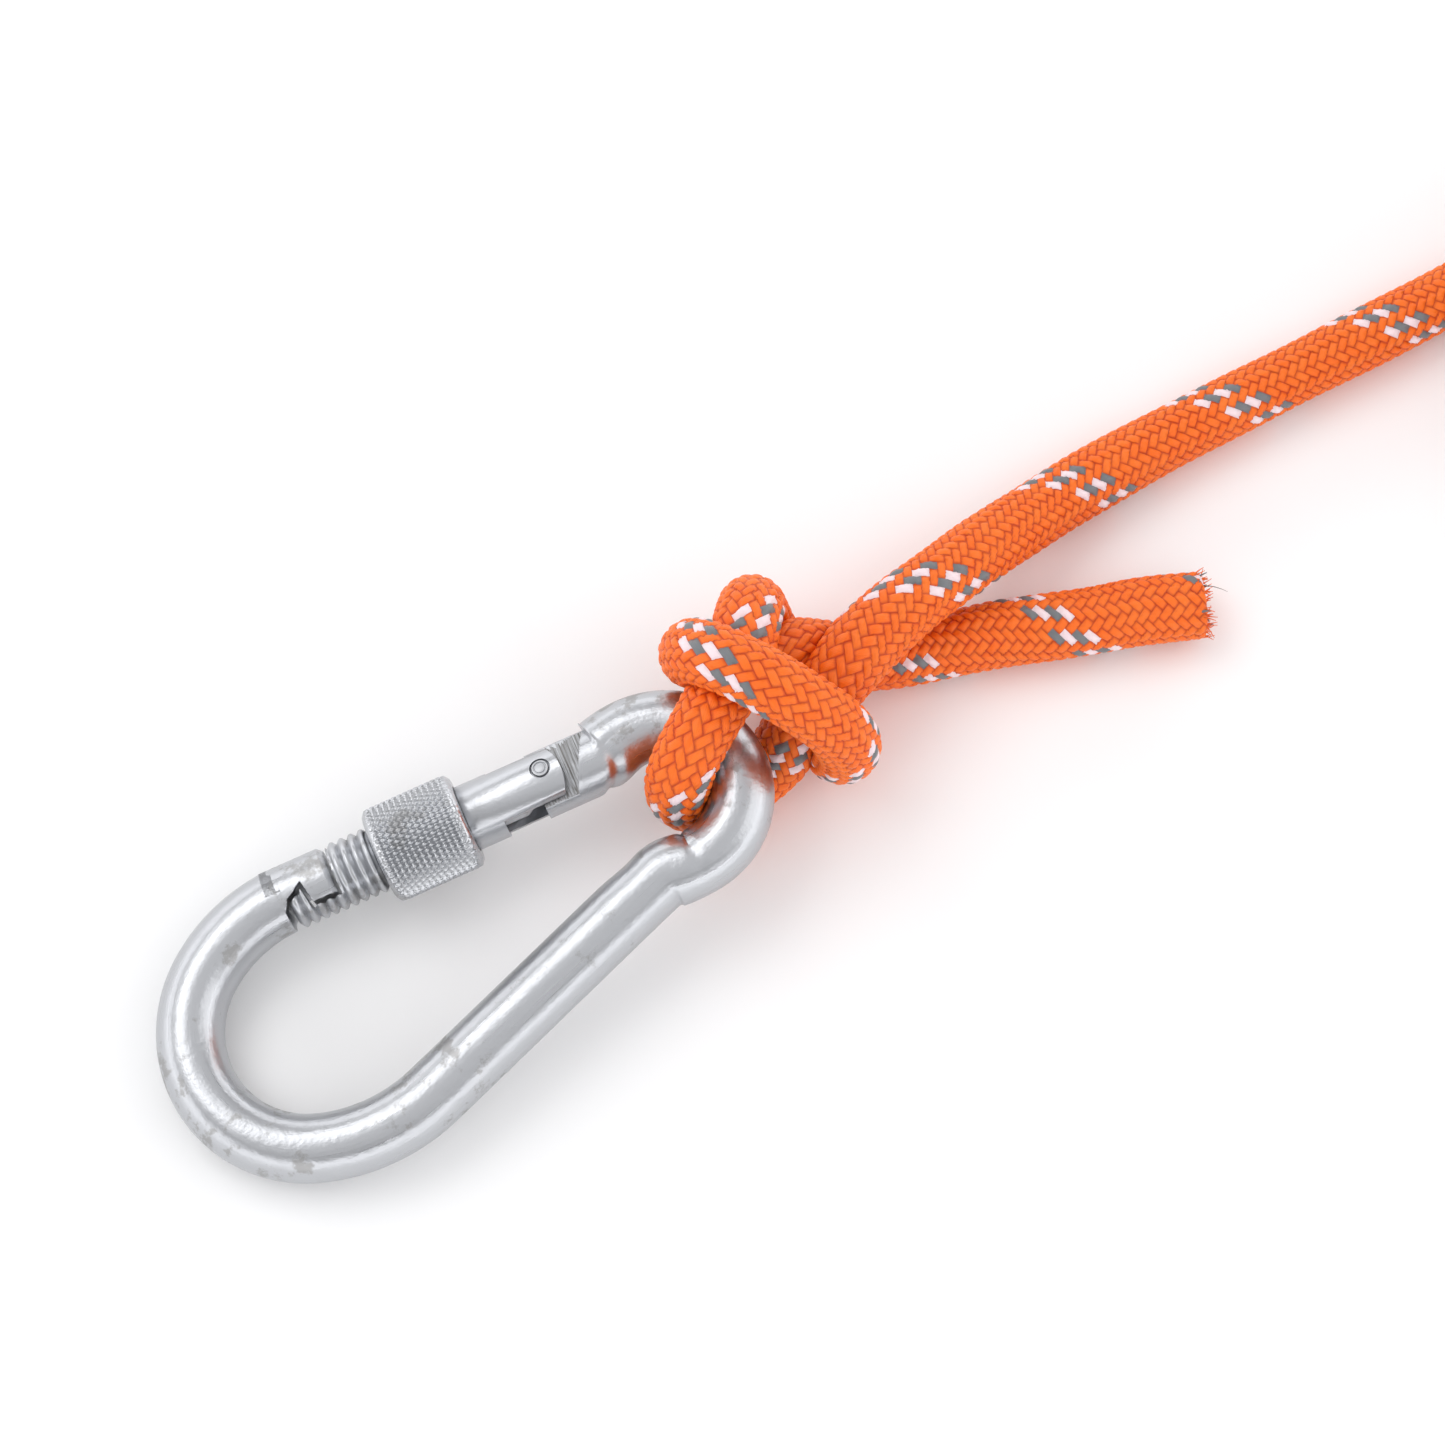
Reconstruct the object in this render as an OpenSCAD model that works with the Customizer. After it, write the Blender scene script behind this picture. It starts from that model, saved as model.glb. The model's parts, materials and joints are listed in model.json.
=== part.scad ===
// Screw-lock snap hook with a rope end knotted into its eye.
// The hook is drawn flat in its own plane, then lifted onto the table: the big bow touches
// the table and the eye rests on the rope.  +X runs from the big bow to the eye, +Y is the
// gate side and +Z is up.

/* [Hook] */
// Length over the two bows
overall_len = 80; // [70:1:100]
// Diameter of the bent rod
rod_d = 8; // [6.5:0.1:9.6]
// Centreline radius of the big bow
bow_r = 14.4; // [13:0.1:17]
// Centreline radius of the eye
eye_r = 8.8; // [8.6:0.1:10.6]
// Shift of the eye towards the gate
eye_shift = 2.6; // [1.5:0.1:3.5]
// Distance of the straight spine from the centre of the big bow
spine_off = 16.1; // [15.5:0.1:18]
// Slope of the spine towards the gate
spine_ang = 14.4; // [12:0.1:16]
// Centreline radius that eases the big bow into the spine
spine_ease_r = 21.7; // [20:0.1:26]
// Distance of the gate line from the centre of the big bow
gate_off = 15.4; // [15.2:0.1:17]
// Slope of the gate line towards the spine
gate_ang = 6.3; // [4:0.1:8]
// Centreline radius that eases the big bow into the nose
nose_ease_r = 19; // [18:0.1:24]
// Centreline radius of the two pinches at the neck
pinch_r = 4.9; // [4.9:0.1:6]
// Rise of the hook towards the eye, in degrees
lift_ang = 7; // [5:0.1:9]

/* [Gate] */
// Where the nose ends, along the gate line
nose_end = 8.9; // [8:0.1:9.5]
// Gap between the nose and the gate
nose_gap = 0.4; // [0.3:0.05:0.6]
// Length of the nose head that the gate's finger hooks behind
head_len = 3.05; // [2.6:0.05:3.4]
// Rod left above the finger, below the rod's axis
head_drop = 2.55; // [2.3:0.05:2.7]
// Where the hinge pin sits, along the gate line
pin_at = 36.2; // [34:0.1:38]
// Shift of the hinge pin towards the outside
pin_rise = 0.85; // [0.3:0.05:1.2]
// Diameter of the hinge pin
pin_d = 2.5; // [2:0.1:3]
// Running clearance of the pin in the tongue, on the radius
pin_play = 0.05; // [0.02:0.01:0.1]
// Thickness of the tongue
tongue_t = 4; // [3:0.1:4.4]
// Gap between the tongue and each ear
ear_gap = 0.15; // [0.1:0.05:0.3]
// Flat on the inner side of the ears, below the gate's axis
ear_drop = 2.9; // [2.6:0.05:3]
// Reach of the ears past the pin
ear_reach = 2.3; // [2:0.1:2.6]
// Length of the fork slot before the pin
slot_len = 6.3; // [5.5:0.1:8]

/* [Screw sleeve] */
// Outer diameter of the sleeve
sleeve_d = 11.7; // [11:0.1:13]
// Length of the sleeve
sleeve_len = 11.2; // [10:0.1:12]
// Where the sleeve starts, along the gate line
sleeve_at = 14.7; // [14:0.1:15.5]
// Chamfer on the sleeve's ends
sleeve_chamfer = 0.8; // [0.4:0.1:1.2]
// Pitch of the thread
thread_pitch = 1.25; // [1:0.25:1.25]
// Depth of the thread
thread_depth = 0.55; // [0.3:0.05:0.6]
// Gap between the thread's crest and the sleeve, on the radius
thread_gap = 0.12; // [0.1:0.02:0.2]
// Wall of the ring that carries the sleeve's own thread
ring_wall = 0.5; // [0.4:0.05:0.6]
// Length of that ring
ring_len = 6; // [5:0.1:7]

/* [Spring] */
// Diameter of the spring plunger
plunger_d = 4; // [3.4:0.1:4.1]
// Gap between the plunger and its bore, on the radius
plunger_play = 0.1; // [0.05:0.01:0.15]
// Shift of the spring bore towards the inside
bore_drop = 0.6; // [0.4:0.05:0.8]
// Length of the plunger
plunger_len = 9; // [8:0.1:10]
// Wire of the spring
spring_wire = 0.6; // [0.4:0.05:0.7]
// Number of turns in the spring
spring_turns = 5; // [4:1:7]
// Length of the fitted spring
spring_len = 5; // [4.5:0.1:6]

/* [Rope hank] */
// Diameter of the rope
rope_d = 8; // [7:0.1:9]
// Step from one turn of the hank to the next
turn_step = 8; // [8:0.1:9]
// Turns side by side in the hank
hank_columns = 2; // [1:1:3]
// Layers of turns in the hank
hank_layers = 3; // [1:1:4]
// Centreline radius of the outermost end loops
hank_r = 24; // [20:0.1:28]
// Length of the straight runs between the end loops
hank_run = 106; // [80:1:125]
// Thickness of the strap that ties the hank
tie_t = 1.3; // [1:0.1:2]
// Width of that strap
tie_w = 16; // [10:1:25]

/* [Hidden] */
$fn = 72;
steel = "#c4c6c9";
zinc = "#d0d2d4";
orange = "#f4601a";
black = "#26262a";
rod_r = rod_d / 2;
far = 3 * rod_d;

// Directions of the spine and the gate line in the hook's plane, and their outward normals.
spine_dir = [cos(spine_ang), sin(spine_ang)];
spine_out = [sin(spine_ang), -cos(spine_ang)];
gate_dir = [cos(gate_ang), -sin(gate_ang)];
gate_out = [sin(gate_ang), cos(gate_ang)];
eye_at = [overall_len - rod_d - bow_r - eye_r, eye_shift];

// An easing arc of radius r touches the big bow inside and a line that is d from its centre.
// Its turn from the line's normal to the touching point is ease_turn.
function ease_turn(r, d) = acos((r - d) / (r - bow_r));
spine_turn = ease_turn(spine_ease_r, spine_off);
nose_turn = ease_turn(nose_ease_r, gate_off);
spine_touch = spine_ang - 90 - spine_turn;
nose_touch = 90 - gate_ang + nose_turn;
spine_ease_at = (bow_r - spine_ease_r) * [cos(spine_touch), sin(spine_touch)];
nose_ease_at = (bow_r - nose_ease_r) * [cos(nose_touch), sin(nose_touch)];

// A pinch is an arc outside both a line and the eye, and it touches both.
function pinch_along(dir, out, d) =
    eye_at * dir - sqrt(pow(eye_r + pinch_r, 2) - pow(d + pinch_r - eye_at * out, 2));
spine_pinch = pinch_along(spine_dir, spine_out, spine_off);
gate_pinch = pinch_along(gate_dir, gate_out, gate_off);
spine_pinch_at = spine_pinch * spine_dir + (spine_off + pinch_r) * spine_out;
gate_pinch_at = gate_pinch * gate_dir + (gate_off + pinch_r) * gate_out;
function angle_of(v) = atan2(v[1], v[0]);
eye_from = angle_of(spine_pinch_at - eye_at);
eye_to = angle_of(gate_pinch_at - eye_at);

// Stations along the gate line.
gate_face = nose_end + nose_gap;
head_back = nose_end - head_len;
nose_chamfer = 0.6;
nose_start = nose_ease_at * gate_dir;
spine_start = spine_ease_at * spine_dir;
thread_end = sleeve_at + 0.65 * sleeve_len;
slot_at = pin_at - slot_len;
tongue_at = pin_at - 1.25;
ear_end = pin_at + ear_reach;
ear_end_r = 5.8;
shoulder_lean = 0.45;
plunger_tip = tongue_at - 0.2;
spring_at = plunger_tip - plunger_len - spring_len;
bore_r = plunger_d / 2 + plunger_play;
crest_r = rod_r;
sleeve_bore_r = crest_r + thread_gap;
ring_r = sleeve_bore_r + ring_wall;
ring_at = sleeve_at + (sleeve_len - ring_len) / 2;
ring_play = 0.05;

// Rope: the knot is tied in one run from the cut end of the tail to where the line leaves it.
// Each entry is [x, y, z, radius].  The rope is pressed thin where it is bent round itself.
knot_route = [
    [118.3, -5.7, 4.4, 4.2], [111.2, -2.7, 4.4, 4.2], [105.7, -0.9, 4.4, 4.2], [100.3, 1.1, 4.4, 4.2],
    [94.8, 3.2, 4.4, 4.2], [90.2, 4.6, 4.4, 4], [86, 5.8, 4.4, 3.6], [82, 7, 4.8, 3.1],
    [78, 8.4, 6, 2.9], [74.2, 9.9, 8.2, 2.9], [70.4, 11.4, 10.7, 2.9], [66.6, 12.8, 11.6, 2.9],
    [63, 14.1, 12.2, 2.9], [60.2, 14.9, 14.6, 2.9], [58.8, 14.4, 18.4, 2.9], [58.9, 12.6, 22.3, 2.9],
    [60, 10, 25, 2.9], [61.9, 6.8, 25.8, 2.9], [64.2, 3.4, 25, 2.9], [66.6, 0.3, 22.6, 2.9],
    [68.8, -1.9, 18.6, 2.9], [69.9, -2.6, 13.6, 2.9], [70, -1.6, 8.6, 2.9], [69.9, 1.2, 5, 2.9],
    [69.9, 5.2, 4, 2.9], [69.9, 9.6, 4, 2.9], [69.8, 13.6, 5, 2.9], [69.5, 16.8, 8.2, 2.9],
    [68.9, 17.8, 12.4, 2.9], [67.7, 16.6, 16.2, 2.9], [65.8, 14.3, 18.4, 2.9], [63.4, 11.9, 19.1, 2.9],
    [60.6, 9.5, 19.5, 2.9], [57.4, 7, 19.9, 2.9], [54, 4.9, 19.3, 2.9], [51.2, 3.3, 17, 2.9],
    [50, 2.4, 13, 2.9], [51, 1.9, 8.8, 2.9], [54.2, 1.6, 5.4, 2.9], [58.4, 1.6, 4.4, 2.9],
    [62.6, 2.1, 5.4, 2.9], [66.4, 3.2, 8.2, 2.9], [70.2, 4.6, 10.6, 2.9]];
line_route = [
    [70.2, 4.6, 10.6, 2.9], [74.6, 6.2, 12.6, 2.9], [79.6, 7.9, 13, 3.2], [85.4, 9.5, 12.4, 3.6],
    [92, 11, 10.6, 3.6], [98.3, 12.5, 8.6, 3.6], [104.5, 13.7, 6.4, 3.6], [110.5, 14.7, 4.8, 3.7],
    [116.5, 15.2, 4.1, 3.8], [124, 15.4, 3.9, 3.8], [134, 15.3, 3.9, 3.8], [145, 15.1, 3.9, 3.8],
    [156, 14.9, 3.9, 3.8], [168, 14.8, 4, 3.8], [180, 15, 4.3, 3.8], [190, 15.3, 4.9, 3.8],
    [200, 15.4, 5.3, 3.8]];
rope_sides = 10;
hank_at = [200 + hank_run / 2, 15.4 - hank_r];

// Extents of the hook and the knot on the table, so that the origin is under their middle.
function high(route, axis) = max([for (p = swept(route, rope_sides)) p[axis]]);
hook_low_x = -bow_r * cos(lift_ang) - rod_r;
hook_low_y = spine_ease_at[1] - spine_ease_r - rod_r;
mid_x = (hook_low_x + high(knot_route, 0)) / 2;
mid_y = (hook_low_y + high(knot_route, 1)) / 2;
lift_z = rod_r + bow_r * sin(lift_ang);

module on_table() translate([-mid_x, -mid_y, 0]) children();
module in_hook_plane() on_table() translate([0, 0, lift_z]) rotate([0, -lift_ang, 0]) children();
// Puts its children on the gate line: their +X runs from nose to hinge, +Y points outwards.
module on_gate_line() in_hook_plane()
    translate(gate_off * gate_out) rotate(-gate_ang) children();
// Turns a profile of [radius, station] round the gate line.
module turned(profile) rotate([90, 0, 90]) rotate_extrude() polygon(profile);
// Cuts across the gate line along the whole thickness of the rod.
module across(outline) translate([0, 0, -far / 2]) linear_extrude(far) polygon(outline);

// The rod is built from arcs and lines end to end.  Every other piece is an easing one: it is
// seam_step thinner and runs seam_lap into its neighbours, so the pieces join cleanly.
seam_step = 0.02;
seam_lap = 0.4;
module rod_arc(centre, r, from, to) translate(centre) rotate(from)
    rotate_extrude(angle = to - from) translate([r, 0]) circle(r = rod_r);
module rod_ease(centre, r, from, to) {
    lap = seam_lap / r * 180 / PI * sign(to - from);
    translate(centre) rotate(from - lap) rotate_extrude(angle = to - from + 2 * lap)
        translate([r, 0]) circle(r = rod_r - seam_step);
}
module rod_line(from, dir, len) translate(from) rotate(angle_of(dir))
    rotate([0, 90, 0]) cylinder(r = rod_r, h = len);

// The bent rod without its nose and its tongue.
module bent_rod() {
    rod_ease(nose_ease_at, nose_ease_r, 90 - gate_ang, nose_touch);
    rod_arc([0, 0], bow_r, nose_touch, 360 + spine_touch);
    rod_ease(spine_ease_at, spine_ease_r, spine_touch, spine_ang - 90);
    rod_line(spine_start * spine_dir + spine_off * spine_out, spine_dir, spine_pinch - spine_start);
    rod_ease(spine_pinch_at, pinch_r, 90 + spine_ang, eye_from + 180);
    rod_arc(eye_at, eye_r, eye_from, eye_to);
    rod_ease(gate_pinch_at, pinch_r, eye_to - 180, -90 - gate_ang);
}

// Nose: a chamfered end, cut under its head and behind it for the gate's finger.
notch_top = 0.05;
notch_back = [head_back - 2.55, -1.2];
notch_low = [head_back - 3.85, -3.1];
nose_cut = [
    [nose_end + 1, -far], [nose_end + 1, -head_drop], [head_back, -head_drop],
    [head_back - 0.45, notch_top], notch_back, notch_low, [notch_low[0] - 0.2, -far]];
module nose() turned([
    [0, nose_start], [rod_r, nose_start], [rod_r, nose_end - nose_chamfer],
    [rod_r - nose_chamfer, nose_end], [0, nose_end]]);

// Tongue: two flats for the gate's ears, ending in a leaning shoulder.
tongue_base = gate_pinch - tongue_at;
module tongue() translate([tongue_at, 0, 0]) rotate([0, 90, 0])
    cylinder(r = rod_r, h = tongue_base);
shoulder_at = ear_end + 2.3;
shoulder_reach = far * shoulder_lean;
module tongue_flats() for (side = [0, 1]) mirror([0, 0, side])
    translate([0, 0, tongue_t / 2]) linear_extrude(far) polygon([
        [tongue_at - 1, -far], [shoulder_at - shoulder_reach, -far],
        [shoulder_at + shoulder_reach, far], [tongue_at - 1, far]]);

module hook_body() color(steel) difference() {
    union() {
        in_hook_plane() bent_rod();
        on_gate_line() nose();
        on_gate_line() tongue();
    }
    on_gate_line() across(nose_cut);
    on_gate_line() tongue_flats();
    on_gate_line() translate([pin_at, pin_rise, -far / 2])
        cylinder(r = pin_d / 2 + pin_play, h = far);
}

// Outline above the gate's finger, which is the nose cut moved in by the gap.
finger_at = head_back - 3.6;
finger_top = -head_drop - nose_gap;
tooth = [head_back - 0.8, -0.75];
tooth_back = notch_back + [0.05, -0.55];
finger_low = notch_low + [0.45, -0.05];
finger_cut = [
    [-far, far], [gate_face, far], [gate_face, finger_top], [head_back - nose_gap, finger_top],
    tooth, tooth_back, finger_low, [finger_at, -far], [-far, -far]];
// A thread ridge is a rounded crest between two roots.
ridge_count = floor((thread_end - finger_at) / thread_pitch);
thread_start = thread_end - ridge_count * thread_pitch;
thread_profile = [for (i = [0 : ridge_count - 1]) each [
    [crest_r - thread_depth, thread_start + i * thread_pitch],
    [crest_r - 0.1, thread_start + (i + 0.3) * thread_pitch],
    [crest_r, thread_start + (i + 0.42) * thread_pitch],
    [crest_r, thread_start + (i + 0.58) * thread_pitch],
    [crest_r - 0.1, thread_start + (i + 0.7) * thread_pitch]]];
module gate_blank() turned(concat(
    [[0, thread_start]], thread_profile,
    [[crest_r - thread_depth, thread_end], [rod_r, thread_end + thread_depth],
     [rod_r, ear_end], [0, ear_end]]));
module fork_slot() translate([slot_at, -far, -tongue_t / 2 - ear_gap])
    cube([far, 2 * far, tongue_t + 2 * ear_gap]);
module ear_flat() translate([slot_at, -far - ear_drop, -far / 2]) cube([far, far, far]);
module ear_rounding() translate([0, 0, -far / 2]) linear_extrude(far) difference() {
    translate([pin_at, -far]) square([far, 2 * far]);
    translate([ear_end - ear_end_r, 0]) circle(r = ear_end_r);
}
module gate() color(zinc) on_gate_line() difference() {
    gate_blank();
    across(finger_cut);
    fork_slot();
    ear_flat();
    ear_rounding();
    translate([pin_at, pin_rise, -far / 2]) cylinder(r = pin_d / 2, h = far);
    translate([spring_at, -bore_drop, 0]) rotate([0, 90, 0]) cylinder(r = bore_r, h = far);
}

// Riveted flush in the ears, so it is as long as the gate is thick there.
module hinge_pin() color(steel) on_gate_line() intersection() {
    translate([pin_at, pin_rise, -far / 2]) cylinder(d = pin_d, h = far);
    rotate([0, 90, 0]) cylinder(r = rod_r, h = ear_end);
}

module spring_plunger() color(steel) on_gate_line() translate([0, -bore_drop, 0]) turned([
    [0, plunger_tip - plunger_len], [plunger_d / 2, plunger_tip - plunger_len],
    [plunger_d / 2, plunger_tip - plunger_d / 2], [plunger_d / 4, plunger_tip - plunger_d / 16],
    [0, plunger_tip]]);

// Sweeps a ring of sides points along a route of [x, y, z, radius].
function unit(v) = v / norm(v);
function point(route, i) = [route[i][0], route[i][1], route[i][2]];
function heading(route, i) = unit(
    point(route, min(i + 1, len(route) - 1)) - point(route, max(i - 1, 0)));
// Two directions across each ring, carried from ring to ring without twisting.
function first_side(route) = unit(cross(heading(route, 0), [0.3, 0.2, 1]));
function sides_of(route) = [
    for (i = 0, t = heading(route, 0), u = first_side(route);
         i < len(route);
         i = i + 1,
         t = i < len(route) ? heading(route, i) : t,
         u = unit(u - (u * t) * t)) [u, cross(t, u)]];
function swept(route, sides) = let (frames = sides_of(route)) [
    for (i = [0 : len(route) - 1]) for (k = [0 : sides - 1])
        point(route, i) + route[i][3]
            * (cos(360 * k / sides) * frames[i][0] + sin(360 * k / sides) * frames[i][1])];
module tube(route, sides) {
    rings = len(route);
    polyhedron(swept(route, sides), concat(
        [[for (k = [0 : sides - 1]) k]],
        [[for (k = [sides - 1 : -1 : 0]) (rings - 1) * sides + k]],
        [for (i = [0 : rings - 2]) for (k = [0 : sides - 1]) each let (
            a = i * sides + k, b = i * sides + (k + 1) % sides)
            [[a, a + sides, b], [b, a + sides, b + sides]]]), convexity = 12);
}

spring_r = (plunger_d - spring_wire) / 2;
spring_steps = 12;
spring_rings = spring_turns * spring_steps;
spring_play = 0.05;
spring_foot = spring_at + spring_wire / 2 + spring_play;
spring_lift = spring_len - spring_wire - 2 * spring_play;
spring_route = [for (i = [0 : spring_rings]) [
    spring_foot + spring_lift * i / spring_rings,
    spring_r * cos(360 * i / spring_steps), spring_r * sin(360 * i / spring_steps),
    spring_wire / 2]];
module gate_spring() color(steel) on_gate_line() translate([0, -bore_drop, 0])
    tube(spring_route, 6);

// The ring that carries the sleeve's own thread sits in a recess of the sleeve.
module sleeve_thread() color(zinc) on_gate_line() turned([
    [sleeve_bore_r, ring_at], [ring_r, ring_at], [ring_r, ring_at + ring_len],
    [sleeve_bore_r, ring_at + ring_len]]);
module lock_sleeve() color(zinc) on_gate_line() turned([
    [sleeve_bore_r, sleeve_at], [sleeve_d / 2 - sleeve_chamfer, sleeve_at],
    [sleeve_d / 2, sleeve_at + sleeve_chamfer],
    [sleeve_d / 2, sleeve_at + sleeve_len - sleeve_chamfer],
    [sleeve_d / 2 - sleeve_chamfer, sleeve_at + sleeve_len],
    [sleeve_bore_r, sleeve_at + sleeve_len],
    [sleeve_bore_r, ring_at + ring_len + ring_play],
    [ring_r + ring_play, ring_at + ring_len + ring_play],
    [ring_r + ring_play, ring_at - ring_play], [sleeve_bore_r, ring_at - ring_play]]);

module rope_knot() color(orange) on_table() tube(knot_route, rope_sides);
module rope_line() color(orange) on_table() tube(line_route, rope_sides);

// Hank: the outer shape of all its turns, lying on the strap that ties it.
hank_wide = 2 * hank_r + rope_d;
hank_high = rope_d + (hank_layers - 1) * turn_step;
hank_ring = rope_d + (hank_columns - 1) * turn_step;
module hank_outline(r) hull() for (end = [-1, 1]) translate([end * hank_run / 2, 0]) circle(r = r);
module rope_hank() color(orange) on_table() translate([hank_at[0], hank_at[1], tie_t])
    linear_extrude(hank_high) difference() {
        hank_outline(hank_wide / 2);
        hank_outline(hank_wide / 2 - hank_ring);
    }
tie_play = 0.05;
module strap_outline(gap) translate([-hank_wide / 2 - gap, tie_t - gap])
    square([hank_wide + 2 * gap, hank_high + 2 * gap]);
module hank_tie() color(black) on_table() translate([hank_at[0] - tie_w / 2, hank_at[1], 0])
    rotate([90, 0, 90]) linear_extrude(tie_w) difference() {
        strap_outline(tie_t);
        strap_outline(tie_play);
    }

hook_body();
gate();
hinge_pin();
gate_spring();
spring_plunger();
sleeve_thread();
lock_sleeve();
rope_knot();
rope_line();
rope_hank();
hank_tie();
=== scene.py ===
"""Screw-lock snap hook with a braided rope knotted into its eye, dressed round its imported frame.

The hook lies on a pale floor, its plane rising a little towards the eye.  All places are in
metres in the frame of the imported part: +X runs from the big bow to the eye, +Y is the gate
side, and Z = 0 is the floor.
"""

import json
import math

import bmesh
import bpy
import numpy as np
from bpy.props import FloatProperty, FloatVectorProperty, IntProperty, PointerProperty
from mathutils import Matrix
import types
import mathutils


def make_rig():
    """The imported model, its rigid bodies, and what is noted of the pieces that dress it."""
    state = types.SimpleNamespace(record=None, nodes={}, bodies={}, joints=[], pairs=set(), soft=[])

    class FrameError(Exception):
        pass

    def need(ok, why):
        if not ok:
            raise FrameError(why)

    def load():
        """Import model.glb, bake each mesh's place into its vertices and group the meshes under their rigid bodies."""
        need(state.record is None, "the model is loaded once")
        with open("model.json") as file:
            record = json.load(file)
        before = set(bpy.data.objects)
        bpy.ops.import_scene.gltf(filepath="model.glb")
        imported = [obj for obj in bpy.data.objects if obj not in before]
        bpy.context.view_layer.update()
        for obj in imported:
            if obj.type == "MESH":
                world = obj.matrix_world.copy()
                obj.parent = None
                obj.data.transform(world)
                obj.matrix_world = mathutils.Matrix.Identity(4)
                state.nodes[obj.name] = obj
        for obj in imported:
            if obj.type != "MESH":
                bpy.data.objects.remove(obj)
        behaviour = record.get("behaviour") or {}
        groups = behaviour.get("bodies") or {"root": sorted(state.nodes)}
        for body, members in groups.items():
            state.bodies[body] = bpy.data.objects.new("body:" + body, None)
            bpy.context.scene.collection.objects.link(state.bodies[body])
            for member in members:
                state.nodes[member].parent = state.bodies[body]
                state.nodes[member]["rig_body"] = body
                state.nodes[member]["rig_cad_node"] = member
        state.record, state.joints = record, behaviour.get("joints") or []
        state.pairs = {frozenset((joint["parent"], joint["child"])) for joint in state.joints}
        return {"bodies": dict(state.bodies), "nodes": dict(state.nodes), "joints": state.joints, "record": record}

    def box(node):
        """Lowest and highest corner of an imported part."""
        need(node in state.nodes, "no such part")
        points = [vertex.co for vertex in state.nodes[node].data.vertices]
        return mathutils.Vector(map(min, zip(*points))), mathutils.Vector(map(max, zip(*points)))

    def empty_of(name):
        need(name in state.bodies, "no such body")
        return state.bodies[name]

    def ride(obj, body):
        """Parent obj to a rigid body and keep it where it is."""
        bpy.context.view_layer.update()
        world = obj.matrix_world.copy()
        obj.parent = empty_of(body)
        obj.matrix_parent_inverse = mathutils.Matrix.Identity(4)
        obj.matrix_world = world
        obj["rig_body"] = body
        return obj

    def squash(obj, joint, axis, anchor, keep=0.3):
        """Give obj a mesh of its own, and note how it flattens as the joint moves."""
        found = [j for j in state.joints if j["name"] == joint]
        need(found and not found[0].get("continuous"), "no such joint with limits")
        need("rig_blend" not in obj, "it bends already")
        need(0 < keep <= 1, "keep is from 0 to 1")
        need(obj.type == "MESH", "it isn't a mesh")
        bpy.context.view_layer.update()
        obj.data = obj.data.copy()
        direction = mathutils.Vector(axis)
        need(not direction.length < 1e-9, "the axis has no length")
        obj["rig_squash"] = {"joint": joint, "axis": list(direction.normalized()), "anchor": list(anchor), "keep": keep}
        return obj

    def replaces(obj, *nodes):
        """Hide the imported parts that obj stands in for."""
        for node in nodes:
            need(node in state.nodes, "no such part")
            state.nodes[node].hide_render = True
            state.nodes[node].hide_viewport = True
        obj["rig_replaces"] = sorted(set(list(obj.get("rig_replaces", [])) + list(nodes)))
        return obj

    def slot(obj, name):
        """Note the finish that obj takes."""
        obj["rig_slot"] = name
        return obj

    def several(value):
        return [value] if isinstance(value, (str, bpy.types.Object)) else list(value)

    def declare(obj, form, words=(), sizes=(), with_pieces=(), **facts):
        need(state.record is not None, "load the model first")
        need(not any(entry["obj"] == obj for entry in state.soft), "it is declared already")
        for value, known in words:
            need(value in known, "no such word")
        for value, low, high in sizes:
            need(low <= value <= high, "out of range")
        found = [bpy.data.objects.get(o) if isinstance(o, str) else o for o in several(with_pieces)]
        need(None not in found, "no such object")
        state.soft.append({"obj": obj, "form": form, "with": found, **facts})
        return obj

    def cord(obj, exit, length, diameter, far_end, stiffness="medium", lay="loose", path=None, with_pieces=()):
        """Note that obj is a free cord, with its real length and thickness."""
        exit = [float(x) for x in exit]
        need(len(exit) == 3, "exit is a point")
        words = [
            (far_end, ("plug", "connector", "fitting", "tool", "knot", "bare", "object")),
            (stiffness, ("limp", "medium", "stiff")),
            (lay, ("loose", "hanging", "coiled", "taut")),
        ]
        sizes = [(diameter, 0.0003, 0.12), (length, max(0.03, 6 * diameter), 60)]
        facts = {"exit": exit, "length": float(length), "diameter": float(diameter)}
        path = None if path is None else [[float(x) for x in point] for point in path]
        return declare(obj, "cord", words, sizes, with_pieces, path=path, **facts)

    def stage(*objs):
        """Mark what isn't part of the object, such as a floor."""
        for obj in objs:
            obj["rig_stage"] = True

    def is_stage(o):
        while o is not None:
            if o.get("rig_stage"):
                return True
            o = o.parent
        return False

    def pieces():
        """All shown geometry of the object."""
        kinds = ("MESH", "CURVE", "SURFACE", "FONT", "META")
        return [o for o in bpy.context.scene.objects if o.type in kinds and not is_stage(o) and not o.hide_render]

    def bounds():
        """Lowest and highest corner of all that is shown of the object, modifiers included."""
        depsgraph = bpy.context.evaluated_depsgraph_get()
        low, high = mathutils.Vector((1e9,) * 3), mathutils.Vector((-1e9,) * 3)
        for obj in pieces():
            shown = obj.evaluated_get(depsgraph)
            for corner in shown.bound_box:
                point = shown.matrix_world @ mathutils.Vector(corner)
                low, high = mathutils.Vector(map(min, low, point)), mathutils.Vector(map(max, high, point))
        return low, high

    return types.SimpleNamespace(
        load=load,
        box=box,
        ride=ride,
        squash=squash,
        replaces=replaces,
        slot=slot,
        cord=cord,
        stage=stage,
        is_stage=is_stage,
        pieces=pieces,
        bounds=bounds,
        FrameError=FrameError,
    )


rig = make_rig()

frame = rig.load()
CAD_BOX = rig.bounds()

bl_info = {
    "name": "Snap Hook And Rope",
    "version": (1, 0, 0),
    "blender": (4, 5, 0),
    "location": "View3D > Sidebar > Snap Hook",
    "description": "Dresses a screw-lock snap hook, its knotted rope and their studio",
    "category": "Object",
}

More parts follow.
